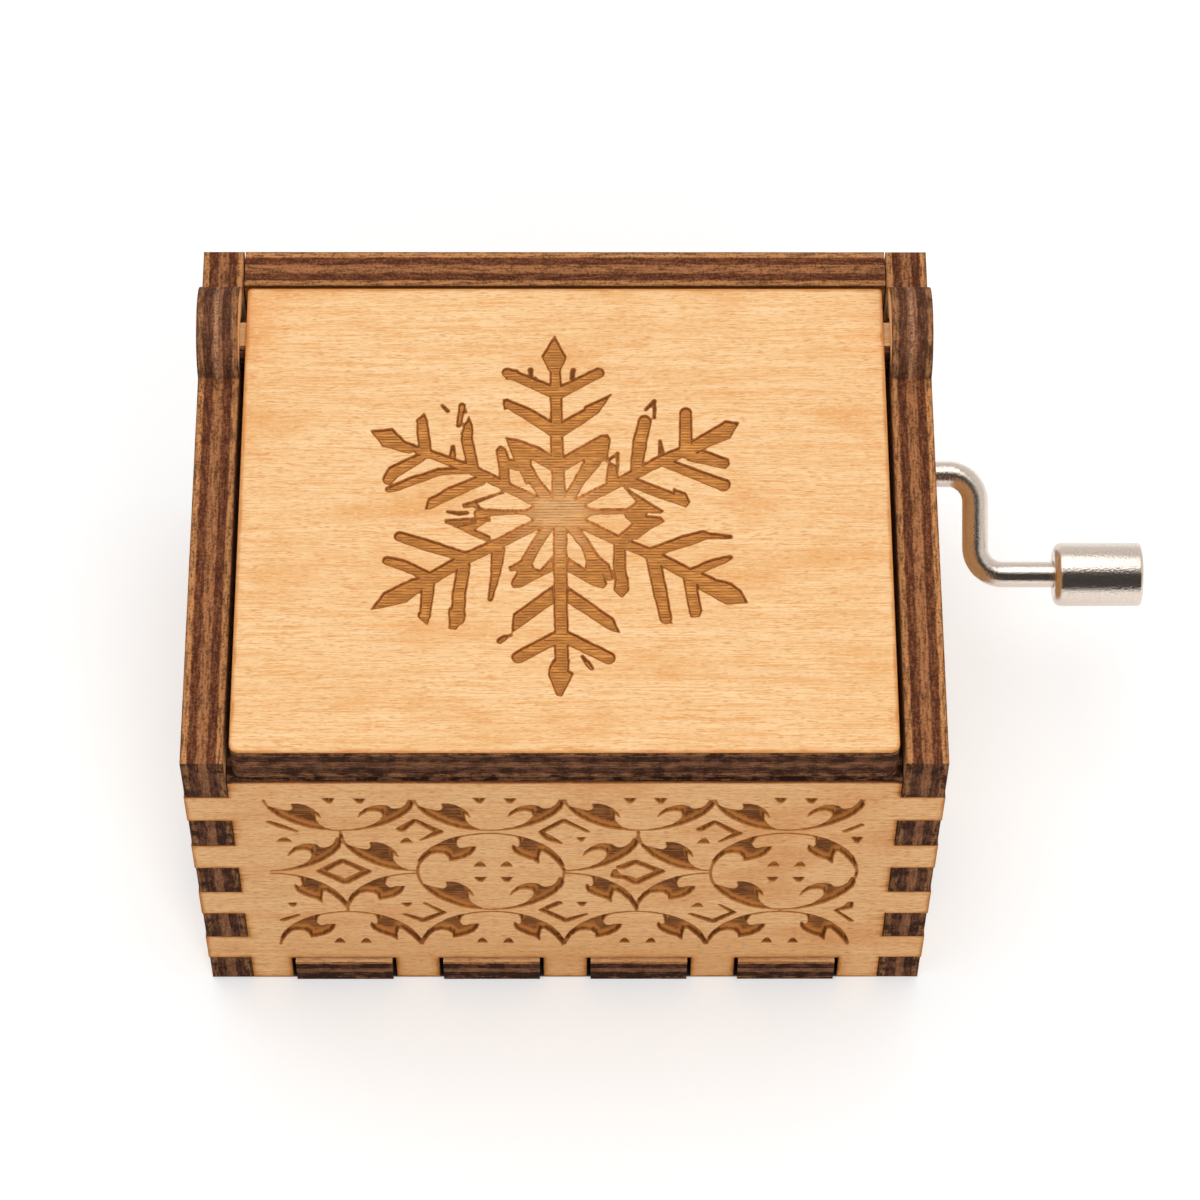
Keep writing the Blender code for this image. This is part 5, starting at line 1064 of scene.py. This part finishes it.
# cylinder: a brass tube with a row of pins for each note, drawn from a fixed seed
drum = {"axis": Vector((7.0, 0, 14.1)), "radius": 6.5, "wall": 0.5, "half": 10.85, "notes": 18, "pitch": 1.15,
        "beats": 46, "share": 0.26, "pin": 0.22, "pinSmall": 0.17, "proud": 0.68, "sunk": 0.2, "around": 96,
        "bevel": 0.12, "seed": 18}
tree, given, result = groupOf(
    "pinned_cylinder", {"Geometry": None, "Notes": 18, "Note Pitch": 0.001, "Beats": 30, "Share": 0.2,
                        "Pin Radius": 0.0002, "Pin Tip": 0.0002, "Pin Length": 0.001, "Pin Middle": 0.006,
                        "Axis": None, "Seed": 1, "Material": None}, grownSocket, "GeometryNodeTree")
span = times(given["Note Pitch"], minus(given["Notes"], 1))
places = put(tree, "GeometryNodeMeshGrid", {"Size X": span, "Size Y": 1.0, "Vertices X": given["Notes"],
                                            "Vertices Y": given["Beats"]}).outputs[0]
rare = put(tree, "FunctionNodeRandomValue", {"Probability": minus(1.0, given["Share"]),
                                             "Seed": given["Seed"]}, data_type="BOOLEAN").outputs[3]
kept = put(tree, "GeometryNodeDeleteGeometry", {"Geometry": places, "Selection": rare}, domain="POINT").outputs[0]
flatSpot = partsOf(put(tree, "GeometryNodeInputPosition").outputs[0])
full = calc("DIVIDE", minus(given["Beats"], 1), given["Beats"])
angle = times(times(flatSpot[1], full), 2 * math.pi)
outWay = vectorOf({0: calc("SINE", angle), 2: calc("COSINE", angle)})
stored = put(tree, "GeometryNodeStoreNamedAttribute", {"Geometry": kept, "Name": "out_way", "Value": outWay},
             data_type="FLOAT_VECTOR", domain="POINT").outputs[0]
reach = put(tree, "ShaderNodeVectorMath", {0: outWay, "Scale": given["Pin Middle"]}, operation="SCALE").outputs[0]
level = vectorOf({1: flatSpot[0]})
spotNow = sumOf(sumOf(reach, level), given["Axis"])
bent = put(tree, "GeometryNodeSetPosition", {"Geometry": stored, "Position": spotNow}).outputs[0]
outNow = put(tree, "GeometryNodeInputNamedAttribute", {"Name": "out_way"}, data_type="FLOAT_VECTOR").outputs[0]
turn = put(tree, "FunctionNodeAlignRotationToVector", {"Vector": outNow}, axis="Z").outputs[0]
pin = put(tree, "GeometryNodeMeshCone", {"Vertices": 7, "Radius Top": given["Pin Tip"], "Depth": given["Pin Length"],
                                         "Radius Bottom": given["Pin Radius"]}).outputs[0]
pinLow = vectorOf({2: times(given["Pin Length"], -0.5)})
pin = put(tree, "GeometryNodeTransform", {"Geometry": pin, "Translation": pinLow}).outputs[0]
pins = put(tree, "GeometryNodeInstanceOnPoints", {"Points": bent, "Instance": pin, "Rotation": turn}).outputs[0]
both = tree.nodes.new("GeometryNodeJoinGeometry")
tree.links.new(pins, both.inputs[0])
tree.links.new(given["Geometry"], both.inputs[0])
endTree(tree, given, result, both.outputs[0])
inside, outside, half, bevel = drum["radius"] - drum["wall"], drum["radius"], drum["half"], drum["bevel"]
section = [(-half, inside), (-half, outside - bevel), (bevel - half, outside), (half - bevel, outside),
           (half, outside - bevel), (half, inside)]
tube = turnedMesh("cylinder_tube", section, drum["axis"], drum["around"], "YZX")
grown("pinned_cylinder_shown", tree, tube, {
    "Notes": drum["notes"], "Note Pitch": drum["pitch"] * mm, "Beats": drum["beats"], "Share": drum["share"],
    "Pin Radius": drum["pin"] * mm, "Pin Tip": drum["pinSmall"] * mm,
    "Pin Length": (drum["proud"] + drum["sunk"]) * mm,
    "Pin Middle": (drum["radius"] + (drum["proud"] - drum["sunk"]) / 2) * mm,
    "Axis": tuple(drum["axis"] * mm), "Seed": drum["seed"]}, "cylinder", "cylinder_brass", "cylinder_sleeve")
